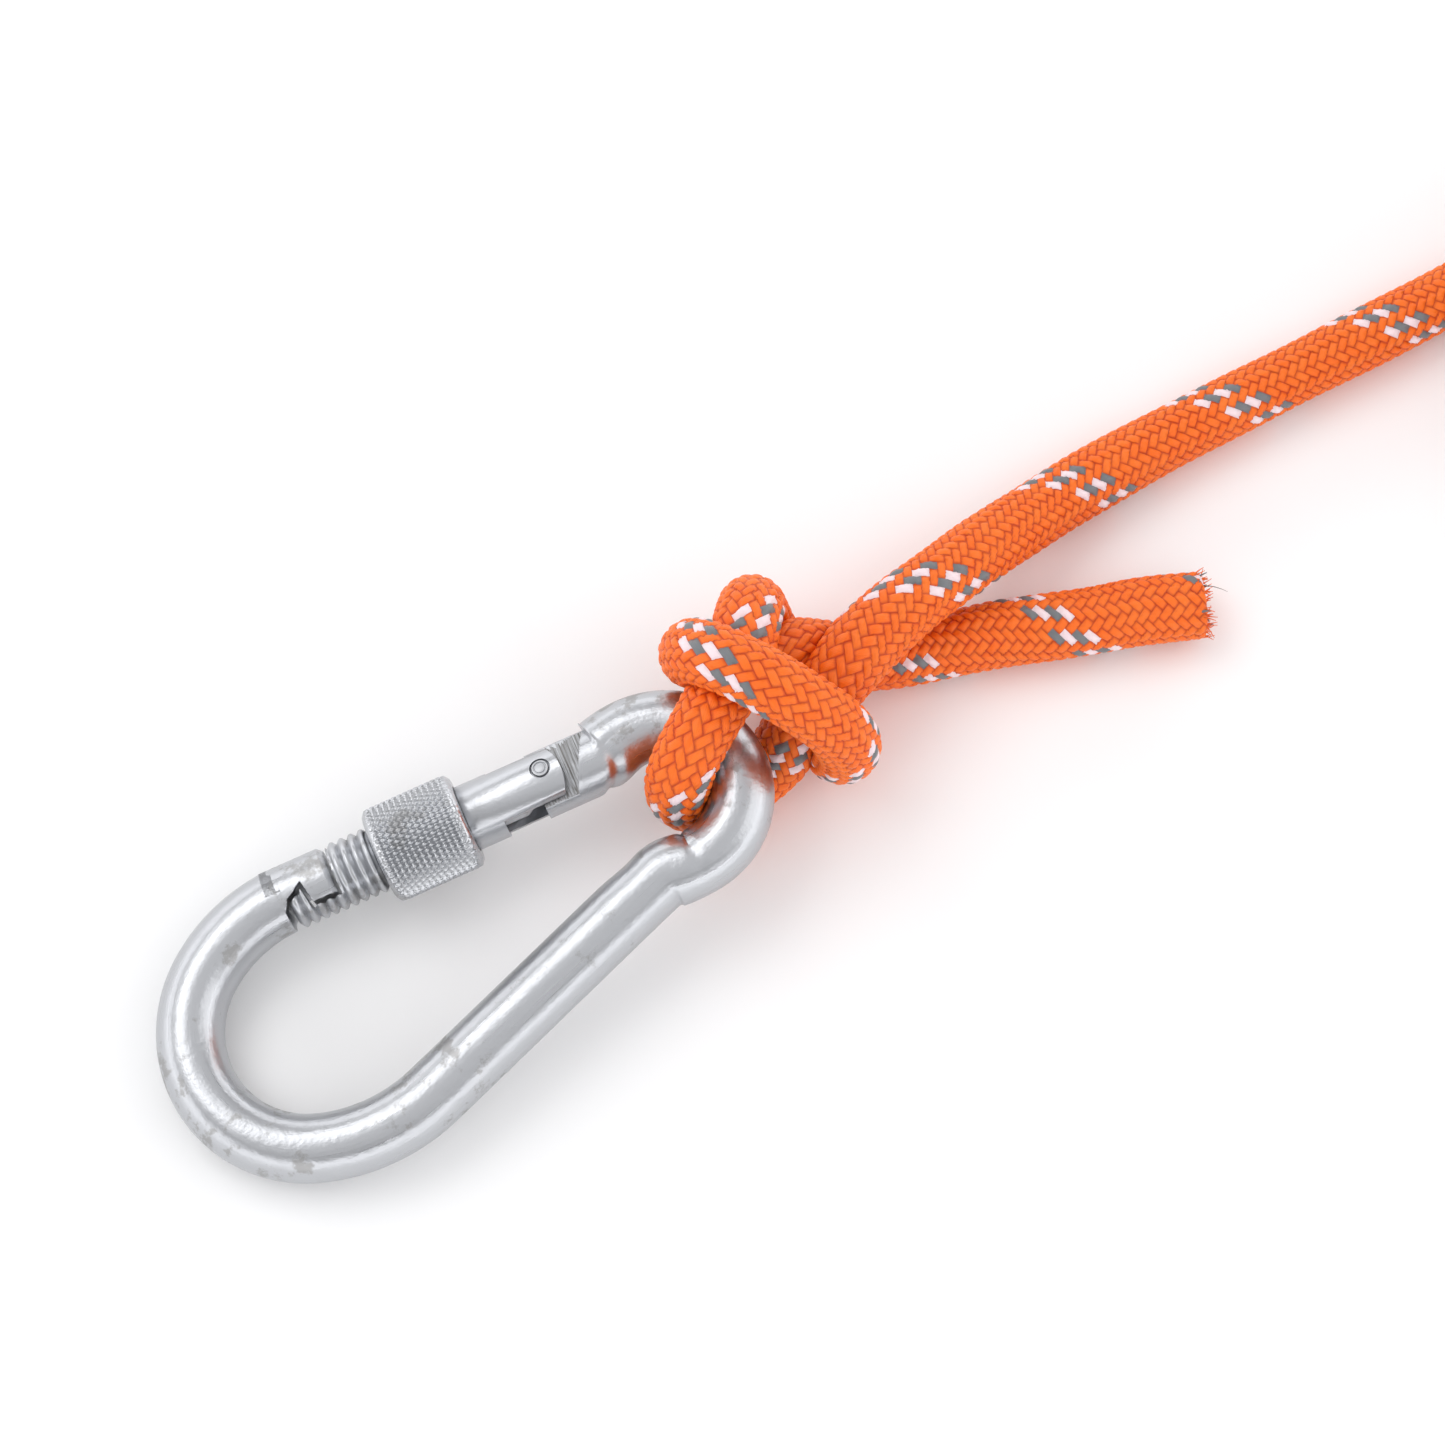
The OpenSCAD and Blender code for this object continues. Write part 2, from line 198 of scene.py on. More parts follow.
MM = 0.001
TAU = 2 * math.pi
SIZE_FILE = "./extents.json"
MILLED = 1.0  # added to the second surface coordinate where a face is milled
SPRING_FOOT = 14.2 * MM  # from the tongue's end back to the coil spring's fixed end
SPRING_DROP = 0.6 * MM  # distance of the spring's line inwards from the gate line
SPRING_KEEP = 0.72  # share of its length that the spring keeps when the plunger is in


# ---------------------------------------------------------------- properties


def length(name, description, default):
    """A length property in metres, given in millimetres."""
    return FloatProperty(name=name, description=description, default=default * MM,
                         precision=5, subtype="DISTANCE", unit="LENGTH")


def colour(name, description, default):
    """A colour property of three linear numbers."""
    return FloatVectorProperty(name=name, description=description, default=default,
                               size=3, min=0, max=1, subtype="COLOR")


class HookSizes(bpy.types.PropertyGroup):
    rod_r: length("Rod radius", "Radius of the bent rod", 4)
    overall: length("Overall length", "Length over the two bows", 80)
    bow_r: length("Bow radius", "Centreline radius of the big bow", 14.4)
    eye_r: length("Eye radius", "Centreline radius of the eye", 8.8)
    eye_shift: length("Eye shift", "Shift of the eye towards the gate", 2.6)
    spine_off: length("Spine offset", "Distance of the spine from the bow's centre", 16.1)
    spine_ease: length("Spine easing", "Radius that eases the bow into the spine", 21.7)
    gate_off: length("Gate offset", "Distance of the gate line from the bow's centre", 15.4)
    nose_ease: length("Nose easing", "Radius that eases the bow into the nose", 19)
    pinch_r: length("Pinch radius", "Centreline radius of the two pinches", 4.9)
    nose_end: length("Nose end", "Station of the nose's end on the gate line", 8.9)
    head_len: length("Head length", "Length of the nose's head", 3.05)
    head_drop: length("Head drop", "Rod left under the head, below its axis", 2.55)
    nose_chamfer: length("Nose chamfer", "Chamfer on the nose's end", 0.6)
    tongue_at: length("Tongue end", "Station where the tongue ends", 34.95)
    tongue_half: length("Tongue half thickness", "Half the tongue's thickness", 2)
    pin_at: length("Pin", "Station of the hinge pin", 36.2)
    pin_rise: length("Pin rise", "Shift of the hinge pin towards the outside", 0.85)
    shoulder_at: length("Shoulder", "Station of the tongue's shoulder at the axis", 40.8)
    lift: FloatProperty(name="Lift", description="Rise of the hook towards the eye",
                        default=math.radians(7), subtype="ANGLE", unit="ROTATION")
    spine_slope: FloatProperty(name="Spine slope", description="Slope of the spine",
                               default=math.radians(14.4), subtype="ANGLE", unit="ROTATION")
    gate_slope: FloatProperty(name="Gate slope", description="Slope of the gate line",
                              default=math.radians(6.3), subtype="ANGLE", unit="ROTATION")
    shoulder_lean: FloatProperty(name="Shoulder lean", default=0.45,
                                 description="Lean of the tongue's shoulder, as a slope")


class SleeveSizes(bpy.types.PropertyGroup):
    diameter: length("Diameter", "Diameter over the knurl", 11.7)
    long: length("Length", "Length of the sleeve", 11.2)
    start: length("Start", "Station of the sleeve's end on the gate line", 14.7)
    chamfer: length("Chamfer", "Chamfer on the sleeve's ends", 0.8)
    bore_r: length("Bore radius", "Radius of the bore", 4.12)
    knurl_depth: length("Knurl depth", "Depth of the diamond knurl", 0.38)
    knurl_count: IntProperty(name="Knurl count", default=44, min=12, max=90,
                             description="Grooves of each hand round the sleeve")
    knurl_lead: length("Knurl lead", "Advance of one groove over a full turn", 62)


class RopeSizes(bpy.types.PropertyGroup):
    tail_r: length("Tail radius", "Radius of the slack rope at the tail", 3.95)
    knot_r: length("Knot radius", "Radius of the rope in the knot, before it is pressed", 3.8)
    leave_r: length("Leaving radius", "Radius of the rope where it leaves the knot", 4.2)
    line_r: length("Line radius", "Radius of the stretched line", 3.72)
    lead: length("Braid lead", "Advance of one yarn over a full turn", 22.8)
    relief: length("Stitch relief", "Height of a stitch over the gaps", 0.42)
    yarns: IntProperty(name="Yarns", default=16, min=8, max=40,
                       description="Yarns of each hand in the braid")
    hank_r: length("Hank loop radius", "Centreline radius of the outermost end loops", 24)
    hank_run: length("Hank run", "Length of the straight runs between the end loops", 106)
    turn_step: length("Turn step", "Step from one turn of the hank to the next", 8)
    strap_t: length("Strap thickness", "Thickness of the strap that ties the hank", 1.3)
    strap_w: length("Strap width", "Width of the strap that ties the hank", 16)


class Colours(bpy.types.PropertyGroup):
    sheath: colour("Sheath", "Orange yarn", (0.92, 0.150, 0.004))
    # Darker orange painted into the gaps between stitches as shade.
    sheath_gap_shade: colour("Sheath shadow", "Orange yarn in its gaps", (0.50, 0.030, 0.001))
    grey_yarn: colour("Grey tracer", "Reflective grey tracer yarn", (0.17, 0.18, 0.19))
    pale_yarn: colour("Pale tracer", "Pale tracer yarn", (0.86, 0.70, 0.73))
    zinc: colour("Zinc", "Bright zinc plate", (0.50, 0.51, 0.53))
    stain: colour("Stain", "Dull stain on the zinc", (0.27, 0.26, 0.245))
    strap: colour("Strap", "Black strap yarn", (0.012, 0.012, 0.014))
    floor: colour("Floor", "Pale studio floor", (0.93, 0.93, 0.93))


class StageSettings(bpy.types.PropertyGroup):
    lens: FloatProperty(name="Lens", description="Focal length in millimetres", default=100)
    floor_r: length("Floor radius", "Radius of the floor", 1600)
    key: FloatProperty(name="Key", description="Power of the key light in watts",
                       default=3.2, subtype="POWER", unit="POWER")
    fill: FloatProperty(name="Fill", description="Power of the fill light in watts",
                        default=1.6, subtype="POWER", unit="POWER")
    world: FloatProperty(name="Surroundings", description="Strength of the surroundings",
                         default=1.34)


PROPERTY_GROUPS = {"hook_sizes": HookSizes, "sleeve_sizes": SleeveSizes,
                   "rope_sizes": RopeSizes, "hook_colours": Colours,
                   "hook_stage": StageSettings}


# ---------------------------------------------------------------- places


def unit(v):
    """Vectors along the last axis, each at length one."""
    return v / np.linalg.norm(v, axis=-1, keepdims=True)


class Lie:
    """How the hook lies: turns points of the hook's own plane into points of the frame.

    The plane's origin is the big bow's centre.  The frame's origin is found from the packed
    hook body, whose lowest corner is where the bow's outer edge reaches.
    """

    def __init__(self, h):
        self.c, self.s = math.cos(h.lift), math.sin(h.lift)
        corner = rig.box("hook_body")[0]
        spine_low = spine_arc_centre(h)[1] - h.spine_ease - h.rod_r
        self.shift = np.array([corner.x + h.bow_r * self.c + h.rod_r,
                               corner.y - spine_low, 0.0])
        self.z0 = h.rod_r + h.bow_r * self.s

    def table(self, p):
        """Points measured from the bow's centre on the table."""
        return np.asarray(p, float) + self.shift

    def plane(self, p):
        """Points in the hook's plane, which rises towards the eye."""
        p = np.asarray(p, float)
        x = p[..., 0] * self.c - p[..., 2] * self.s
        z = p[..., 0] * self.s + p[..., 2] * self.c + self.z0
        return np.stack([x, p[..., 1], z], -1) + self.shift

    def gate(self, h, p):
        """Points [station, outwards, up] on the gate line."""
        p = np.asarray(p, float)
        ga, far = h.gate_slope, h.gate_off
        along = np.array([math.cos(ga), -math.sin(ga)])
        out = np.array([math.sin(ga), math.cos(ga)])
        flat = p[..., :1] * along + (p[..., 1:2] + far) * out
        return self.plane(np.concatenate([flat, p[..., 2:3]], -1))


def ease_turn(r, d, bow):
    """Turn from a line's normal to where an arc of radius r leaves the bow for that line."""
    return math.acos((r - d) / (r - bow))


def spine_arc_centre(h):
    """Centre of the arc that eases the bow into the spine."""
    touch = h.spine_slope - TAU / 4 - ease_turn(h.spine_ease, h.spine_off, h.bow_r)
    return (h.bow_r - h.spine_ease) * np.array([math.cos(touch), math.sin(touch)])


def arc(centre, r, start, end, step):
    """Points and headings along an arc, from angle start to angle end."""
    count = max(3, round(abs(end - start) * r / step))
    a = np.linspace(start, end, count + 1)
    way = math.copysign(1, end - start)
    points = centre + r * np.stack([np.cos(a), np.sin(a)], -1)
    return points, way * np.stack([-np.sin(a), np.cos(a)], -1)


def line(start, end, step):
    """Points and headings along a line."""
    start, end = np.asarray(start, float), np.asarray(end, float)
    count = max(2, round(np.linalg.norm(end - start) / step))
    points = start + (end - start) * np.linspace(0, 1, count + 1)[:, None]
    return points, np.repeat(unit(end - start)[None], count + 1, 0)


def angle_of(v):
    """Angle of a flat vector from the first axis."""
    return math.atan2(v[1], v[0])


def rod_centreline(h, step, fine):
    """Centreline of the bent rod from the nose's end round to the tongue's end.

    It is made of the arcs and lines that touch each other: nose, easing arc, big bow, easing
    arc, spine, pinch, eye, pinch and tongue.
    """
    sa, ga = h.spine_slope, h.gate_slope
    s_dir = np.array([math.cos(sa), math.sin(sa)])
    s_out = np.array([math.sin(sa), -math.cos(sa)])
    g_dir = np.array([math.cos(ga), -math.sin(ga)])
    g_out = np.array([math.sin(ga), math.cos(ga)])
    eye = np.array([h.overall - 2 * h.rod_r - h.bow_r - h.eye_r, h.eye_shift])
    s_touch = sa - TAU / 4 - ease_turn(h.spine_ease, h.spine_off, h.bow_r)
    g_touch = TAU / 4 - ga + ease_turn(h.nose_ease, h.gate_off, h.bow_r)
    s_arc = spine_arc_centre(h)
    g_arc = (h.bow_r - h.nose_ease) * np.array([math.cos(g_touch), math.sin(g_touch)])

    def pinch(direction, out, off):
        reach = off + h.pinch_r
        along = eye @ direction - math.sqrt((h.eye_r + h.pinch_r) ** 2 - (reach - eye @ out) ** 2)
        return along, along * direction + reach * out

    s_along, s_pinch = pinch(s_dir, s_out, h.spine_off)
    g_along, g_pinch = pinch(g_dir, g_out, h.gate_off)
    eye_from, eye_to = angle_of(s_pinch - eye), angle_of(g_pinch - eye)
    on_gate = lambda station: station * g_dir + h.gate_off * g_out
    parts = [
        line(on_gate(h.nose_end), on_gate(h.nose_end - 8 * MM), fine),
        line(on_gate(h.nose_end - 8 * MM), on_gate(g_arc @ g_dir), step),
        arc(g_arc, h.nose_ease, TAU / 4 - ga, g_touch, step),
        arc(0, h.bow_r, g_touch, TAU + s_touch, step),
        arc(s_arc, h.spine_ease, s_touch, sa - TAU / 4, step),
        line((s_arc @ s_dir) * s_dir + h.spine_off * s_out,
             s_along * s_dir + h.spine_off * s_out, step),
        arc(s_pinch, h.pinch_r, TAU / 4 + sa, eye_from + TAU / 2, step / 2),
        arc(eye, h.eye_r, eye_from, eye_to, step),
        arc(g_pinch, h.pinch_r, eye_to - TAU / 2, -TAU / 4 - ga, step / 2),
        line(on_gate(g_along), on_gate(h.tongue_at), fine)]
    points = np.concatenate([p[:-1] for p, _ in parts[:-1]] + [parts[-1][0]])
    heads = np.concatenate([t[:-1] for _, t in parts[:-1]] + [parts[-1][1]])
    count = [len(p) - 1 for p, _ in parts]
    return points, heads, count, g_dir


# ---------------------------------------------------------------- meshes


class Shape:
    """Points, faces and face-corner coordinates of one piece, gathered before its mesh."""

    def __init__(self):
        self.points, self.quads, self.tris = [], [], []
        self.quad_uv, self.tri_uv, self.count = [], [], 0

    def add(self, points):
        points = np.asarray(points, float).reshape(-1, 3)
        first = self.count
        self.points.append(points)
        self.count += len(points)
        return first

    def grid(self, points, uv=None):
        """A tube of points[row, column], whose last column joins its first.  Its outer side is
        where columns run anticlockwise round the way the rows go.  uv has one column more."""
        rows, cols = points.shape[:2]
        first = self.add(points)
        i, j = np.meshgrid(np.arange(rows - 1), np.arange(cols), indexing="ij")
        k = (j + 1) % cols
        index = first + np.stack([i * cols + j, i * cols + k, (i + 1) * cols + k,
                                  (i + 1) * cols + j], -1)
        if uv is None:
            uv = np.zeros((rows, cols + 1, 2))
        corners = np.stack([uv[i, j], uv[i, j + 1], uv[i + 1, j + 1], uv[i + 1, j]], -2)
        self.quads.append(index.reshape(-1, 4))
        self.quad_uv.append(corners.reshape(-1, 4, 2))
        return first

    def cap(self, ring, centre, end, uv=(0.0, 0.0)):
        """Closes a ring of point numbers with a fan to its centre.  end is True at the last
        ring of a grid and False at its first."""
        middle = self.add(centre)
        ring = np.asarray(ring)
        after = np.roll(ring, -1)
        pair = (ring, after) if end else (after, ring)
        hub = np.full(len(ring), middle)
        self.tris.append(np.stack([hub, *pair], -1))
        self.tri_uv.append(np.broadcast_to(uv, (len(ring), 3, 2)))

    def mesh(self, name):
        """The Blender mesh, with a UV map that holds the corner coordinates."""
        quads = np.concatenate(self.quads or [np.zeros((0, 4), int)])
        tris = np.concatenate(self.tris or [np.zeros((0, 3), int)])
        uv = [a.reshape(-1, 2) for a in self.quad_uv + self.tri_uv]
        mesh = bpy.data.meshes.new(name)
        mesh.vertices.add(self.count)
        mesh.vertices.foreach_set("co", np.concatenate(self.points).astype(np.float32).ravel())
        mesh.loops.add(quads.size + tris.size)
        mesh.loops.foreach_set("vertex_index", np.concatenate([quads.ravel(), tris.ravel()]))
        sizes = np.concatenate([np.full(len(quads), 4), np.full(len(tris), 3)])
        mesh.polygons.add(len(sizes))
        mesh.polygons.foreach_set("loop_start", np.concatenate([[0], np.cumsum(sizes)[:-1]]))
        layer = mesh.uv_layers.new(name="Surface")
        layer.data.foreach_set("uv", np.concatenate(uv).astype(np.float32).ravel())
        mesh.update(calc_edges=True)
        mesh.validate()
        return mesh


def place(name, mesh, material, body, slot, replaces=(), sharp=None):
    """Puts a mesh in the scene as a piece of the object."""
    mesh.shade_smooth()
    if sharp is not None:
        mesh.set_sharp_from_angle(angle=sharp)
    mesh.materials.append(material)
    piece = bpy.data.objects.new(name, mesh)
    bpy.context.scene.collection.objects.link(piece)
    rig.ride(piece, body)
    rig.slot(piece, slot)
    if replaces:
        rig.replaces(piece, *replaces)
    return piece


def smooth_step(x):
    """0 below 0, 1 above 1, and a smooth rise between."""
    x = np.clip(x, 0, 1)
    return x * x * (3 - 2 * x)


# ---------------------------------------------------------------- material tools


class Graph:
    """Short ways to add and join nodes in one node tree."""

    def __init__(self, tree):
        self.tree = tree

    def node(self, kind, values=(), **settings):
        node = self.tree.nodes.new(kind)
        for key, value in settings.items():
            setattr(node, key, value)
        for key, value in dict(values).items():
            self.feed(node.inputs[key], value)
        return node

    def feed(self, socket, value):
        if isinstance(value, bpy.types.NodeSocket):
            self.tree.links.new(value, socket)
        else:
            socket.default_value = value

    def math(self, operation, *values, clamp=False):
        node = self.node("ShaderNodeMath", operation=operation, use_clamp=clamp)
        for socket, value in zip(node.inputs, values):
            self.feed(socket, value)
        return node.outputs[0]

    def ramp(self, value, low, high, out_low=0.0, out_high=1.0):
        """value carried from [low, high] to [out_low, out_high], clamped."""
        node = self.node("ShaderNodeMapRange", {
            "Value": value, "From Min": low, "From Max": high,
            "To Min": out_low, "To Max": out_high})
        return node.outputs["Result"]

    def mix(self, factor, a, b):
        node = self.node("ShaderNodeMix", data_type="RGBA", blend_type="MIX")
        for socket, value in zip((node.inputs[0], node.inputs[6], node.inputs[7]),
                                 (factor, a, b)):
            self.feed(socket, value)
        return node.outputs[2]

    def noise(self, vector, scale, detail=2.0, rough=0.5):
        node = self.node("ShaderNodeTexNoise", {
            "Vector": vector, "Scale": scale, "Detail": detail, "Roughness": rough})
        return node.outputs["Fac"]

    def place_of(self):
        """Object coordinates, in metres."""
        return self.node("ShaderNodeTexCoord").outputs["Object"]

    def surface(self):
        return self.node("ShaderNodeUVMap", uv_map="Surface").outputs["UV"]

    def stretched(self, vector, scale):
        return self.node("ShaderNodeMapping", {"Vector": vector, "Scale": scale}).outputs[0]

    def group(self, tree, **values):
        node = self.node("ShaderNodeGroup", node_tree=tree)
        for key, value in values.items():
            self.feed(node.inputs[key.replace("_", " ")], value)
        return node


def new_group(name, inputs, outputs):
    """An empty shader node group with named float, vector or colour sockets."""
    tree = bpy.data.node_groups.new(name, "ShaderNodeTree")
    kinds = {"value": "NodeSocketFloat", "vector": "NodeSocketVector",
             "colour": "NodeSocketColor"}
    for way, sockets in (("INPUT", inputs), ("OUTPUT", outputs)):
        for label, kind in sockets:
            tree.interface.new_socket(name=label, in_out=way, socket_type=kinds[kind])
    graph = Graph(tree)
    given = graph.node("NodeGroupInput").outputs
    made = graph.node("NodeGroupOutput").inputs
    return graph, given, made


def new_material(name, **constants):
    """A material with one Principled shader, whose plain sockets are set here."""
    material = bpy.data.materials.new(name)
    material.use_nodes = True
    tree = material.node_tree
    shader = tree.nodes["Principled BSDF"]
    for key, value in constants.items():
        shader.inputs[key.replace("_", " ")].default_value = value
    return material, Graph(tree), shader


def rgba(c):
    """A colour with full opacity."""
    return (c[0], c[1], c[2], 1.0)


def braid_group():
    """Braid: reads the two yarn phases from the surface coordinates.

    Each whole step of a phase is one yarn.  Every yarn goes over two and under two of the
    other family: where the whole parts add to 0 or 1, in fours, the first family is on top,
    and where they add to 2 or 3 the second is.  Cover is high on a stitch and low in the gaps,
    Thread is a fine ridge along the top yarn, Chance is a number per stitch.
    """
    graph, given, made = new_group(
        "Braid", [("Surface", "vector"), ("Yarns", "value")],
        [("Cover", "value"), ("Thread", "value"), ("Chance", "value"),
         ("Grey", "value"), ("Pale", "value")])
    m = graph.math
    split = graph.node("ShaderNodeSeparateXYZ", {"Vector": given["Surface"]}).outputs
    whole = [m("FLOOR", split[k]) for k in (0, 1)]
    part = [m("FRACT", split[k]) for k in (0, 1)]
    second = m("GREATER_THAN", m("FLOORED_MODULO", m("ADD", *whole), 4.0), 1.5)
    pick = lambda a, b: graph.node("ShaderNodeMix", {0: second, 2: a, 3: b},
                                   data_type="FLOAT").outputs[0]
    across = pick(*part)
    run = [m("FLOORED_MODULO", m("ADD", whole[0], split[1]), 4.0),
           m("FLOORED_MODULO", m("ADD", m("ADD", whole[1], split[0]), 2.0), 4.0)]
    along = m("MULTIPLY", pick(*run), 0.5)
    centre = [m("ABSOLUTE", m("MULTIPLY_ADD", x, 2.0, -1.0)) for x in (across, along)]
    side = m("SUBTRACT", 1.0, m("POWER", centre[0], 5.0))
    dive = m("SUBTRACT", 1.0, m("POWER", centre[1], 3.5))
    cover = m("MULTIPLY", side, dive)
    cell = graph.node("ShaderNodeCombineXYZ", {
        0: pick(*whole), 1: second,
        2: m("FLOOR", m("MULTIPLY", m("ADD", *split[:2]), 0.25))}).outputs[0]
    chance = graph.node("ShaderNodeTexWhiteNoise", {"Vector": cell},
                        noise_dimensions="3D").outputs["Value"]
    wave = m("MULTIPLY_ADD", across, 6.5 * TAU, m("MULTIPLY", chance, TAU))
    wobble = graph.noise(given["Surface"], 2.2, 1.0)
    thread = m("MULTIPLY_ADD", m("SINE", m("MULTIPLY_ADD", wobble, 5.0, wave)), 0.5, 0.5)
    number = m("FLOORED_MODULO", whole[1], given["Yarns"])
    tracer = m("MULTIPLY", second, m("LESS_THAN", number, 3.5))
    odd = m("GREATER_THAN", m("FLOORED_MODULO", number, 2.0), 0.5)
    for label, value in (("Cover", cover), ("Thread", thread), ("Chance", chance),
                         ("Grey", m("MULTIPLY", tracer, m("SUBTRACT", 1.0, odd))),
                         ("Pale", m("MULTIPLY", tracer, odd))):
        graph.feed(made[label], value)
    return graph.tree


def wear_group():
    """Wear: cloudy stains, fine mottle and long drawn streaks on plated steel.

    Place is in metres.  Along is a coordinate that the streaks follow, stretched beforehand.
    Tone runs from 0 on a stain to 1 on clean plate, Gloss from 0 dull to 1 bright, and Grain is
    a height for a bump.
    """
    graph, given, made = new_group(
        "Wear", [("Place", "vector"), ("Along", "vector"), ("Stain", "value")],
        [("Tone", "value"), ("Gloss", "value"), ("Grain", "value")])
    m = graph.math
    cloud = graph.noise(given["Place"], 330.0, 6.0, 0.7)
    patch = graph.noise(given["Place"], 52.0, 2.0)
    stain = graph.ramp(m("MULTIPLY", cloud, patch), 0.285, 0.325)
    tone = m("SUBTRACT", 1.0, m("MULTIPLY", stain, m("MULTIPLY", given["Stain"], 0.5),
                                clamp=True))
    mottle = graph.noise(given["Place"], 2300.0, 3.0, 0.6)
    streak = graph.noise(given["Along"], 1.0, 3.0, 0.6)
    gloss = m("MULTIPLY", tone, graph.ramp(streak, 0.3, 0.7, 0.55, 1.0))
    speck = graph.ramp(graph.noise(given["Place"], 700.0, 3.0, 0.6), 0.36, 0.64)
    grain = m("MULTIPLY_ADD", streak, 0.35, m("MULTIPLY", m("ADD", mottle, speck), 0.4))
    graph.feed(made["Tone"], tone)
    graph.feed(made["Gloss"], gloss)
    graph.feed(made["Grain"], grain)
    return graph.tree


def rope_material(c, yarns):
    """Braided filament yarn: stitches from the two phases, tracers, and fine threads, with painted shade darkening the
    gaps between stitches.
    """
    material, g, shader = new_material("RopeSheath", Sheen_Weight=0.12, Sheen_Roughness=0.4,
                                       Specular_IOR_Level=0.35)
    shader.inputs["Sheen Tint"].default_value = (1.0, 0.62, 0.42, 1.0)
    braid = g.group(bpy.data.node_groups["Braid"], Surface=g.surface(),
                    Yarns=float(yarns)).outputs
    # Painted shade: the yarn darkens towards the sheath shadow colour where Cover is low, in the gaps between stitches.
    painted_gap_shade = g.mix(g.ramp(braid["Cover"], 0.05, 0.75), rgba(c.sheath_gap_shade), rgba(c.sheath))
    lively = g.mix(g.ramp(braid["Chance"], 0, 1, 0.0, 0.16), painted_gap_shade, (1.0, 0.36, 0.06, 1))
    toned = g.mix(g.ramp(braid["Thread"], 0, 1, 0.0, 0.22), lively, (0.66, 0.07, 0.0, 1))
    greyed = g.mix(braid["Grey"], toned, rgba(c.grey_yarn))
    paled = g.mix(braid["Pale"], greyed, rgba(c.pale_yarn))
    g.feed(shader.inputs["Base Color"], paled)
    rough = g.ramp(braid["Thread"], 0, 1, 0.52, 0.40)
    g.feed(shader.inputs["Roughness"], g.math("SUBTRACT", rough,
                                              g.math("MULTIPLY", braid["Grey"], 0.12)))
    height = g.math("MULTIPLY_ADD", braid["Thread"], 0.18, g.math("MULTIPLY", braid["Cover"], 1.0))
    bump = g.node("ShaderNodeBump", {"Height": height, "Strength": 0.55,
                                     "Distance": 0.00022}).outputs[0]
    g.feed(shader.inputs["Normal"], bump)
    return material


def steel_material(name, c, stain, rough, bump_depth, grain_strength=0.25):
    """Zinc-plated steel with stains, streaks along the surface coordinates, and mottle.

    Faces marked as milled get the short slanting scores of a cutter.
    """
    material, g, shader = new_material(name, Metallic=1.0, Specular_IOR_Level=0.5)
    along = g.stretched(g.surface(), (60.0, 3000.0, 1.0))
    wear = g.group(bpy.data.node_groups["Wear"], Place=g.place_of(), Along=along,
                   Stain=stain).outputs
    split = g.node("ShaderNodeSeparateXYZ", {"Vector": g.surface()}).outputs
    milled = g.math("GREATER_THAN", split[1], MILLED * 0.9)
    cuts = g.noise(g.node("ShaderNodeMapping", {
        "Vector": g.surface(), "Rotation": (0, 0, 0.75), "Scale": (5200, 260, 1)}).outputs[0],
        1.0, 2.0, 0.7)
    base = g.mix(wear["Tone"], rgba(c.stain), rgba(c.zinc))
    cut = g.mix(g.ramp(cuts, 0.35, 0.65), rgba([0.55 * x for x in c.stain]), rgba(c.zinc))
    g.feed(shader.inputs["Base Color"], g.mix(milled, base, cut))
    smooth = g.ramp(wear["Gloss"], 0, 1, rough + 0.24, rough)
    g.feed(shader.inputs["Roughness"], g.math("MAXIMUM", smooth, g.math("MULTIPLY", milled, 0.5)))
    bump = g.node("ShaderNodeBump", {"Height": wear["Grain"], "Strength": grain_strength,
                                     "Distance": bump_depth}).outputs[0]
    scored = g.node("ShaderNodeBump", {"Height": g.math("MULTIPLY", cuts, milled),
                                       "Strength": 0.8, "Distance": 0.0001,
                                       "Normal": bump}).outputs[0]
    g.feed(shader.inputs["Normal"], scored)
    return material


# ---------------------------------------------------------------- rope


# The route of the knot, from the tail's cut end to where the line leaves it, then the line's.
# Millimetres from the big bow's centre, on the table.
KNOT_ROUTE = [
    (118.3, -5.7, 4.4), (111.2, -2.7, 4.4), (105.7, -0.9, 4.4), (100.3, 1.1, 4.4),
    (94.8, 3.2, 4.4), (90.2, 4.6, 4.4), (86, 5.8, 4.4), (82, 7, 4.8), (78, 8.4, 6),
    (74.2, 9.9, 8.2), (70.4, 11.4, 10.7), (66.6, 12.8, 11.6), (63, 14.1, 12.2),
    (60.2, 14.9, 14.6), (58.8, 14.4, 18.4), (58.9, 12.6, 22.3), (60, 10, 25),
    (61.9, 6.8, 25.8), (64.2, 3.4, 25), (66.6, 0.3, 22.6), (68.8, -1.9, 18.6),
    (69.9, -2.6, 13.6), (70, -1.6, 8.6), (69.9, 1.2, 5), (69.9, 5.2, 4), (69.9, 9.6, 4),
    (69.8, 13.6, 5), (69.5, 16.8, 8.2), (68.9, 17.8, 12.4), (67.7, 16.6, 16.2),
    (65.8, 14.3, 18.4), (63.4, 11.9, 19.1), (60.6, 9.5, 19.5), (57.4, 7, 19.9),
    (54, 4.9, 19.3), (51.2, 3.3, 17), (50, 2.4, 13), (51, 1.9, 8.8), (54.2, 1.6, 5.4),
    (58.4, 1.6, 4.4), (62.6, 2.1, 5.4), (66.4, 3.2, 8.2), (70.2, 4.6, 10.6)]
LINE_ROUTE = [
    (74.6, 6.2, 12.6), (79.6, 7.9, 13), (85.4, 9.5, 12.4), (92, 11, 10.6), (98.3, 12.5, 8.6),
    (104.5, 13.7, 6.4), (110.5, 14.7, 4.8), (116.5, 15.2, 4.1), (124, 15.4, 3.9),
    (134, 15.3, 3.9), (145, 15.1, 3.9), (156, 14.9, 3.9), (168, 14.8, 4), (180, 15, 4.3),
    (190, 15.3, 4.9)]
# The hank's turns: where the first one starts, and the height of its lowest layer.
HANK_START = (200, 15.4, 5.3)
# Quarters of a turn, counted from the start: a run away, a loop, a run back and a loop.
STEPS_IN = (3, 15)
STEPS_OUT = (9,)
CLIMBS = (6, 12)
HANK_END = 18.8
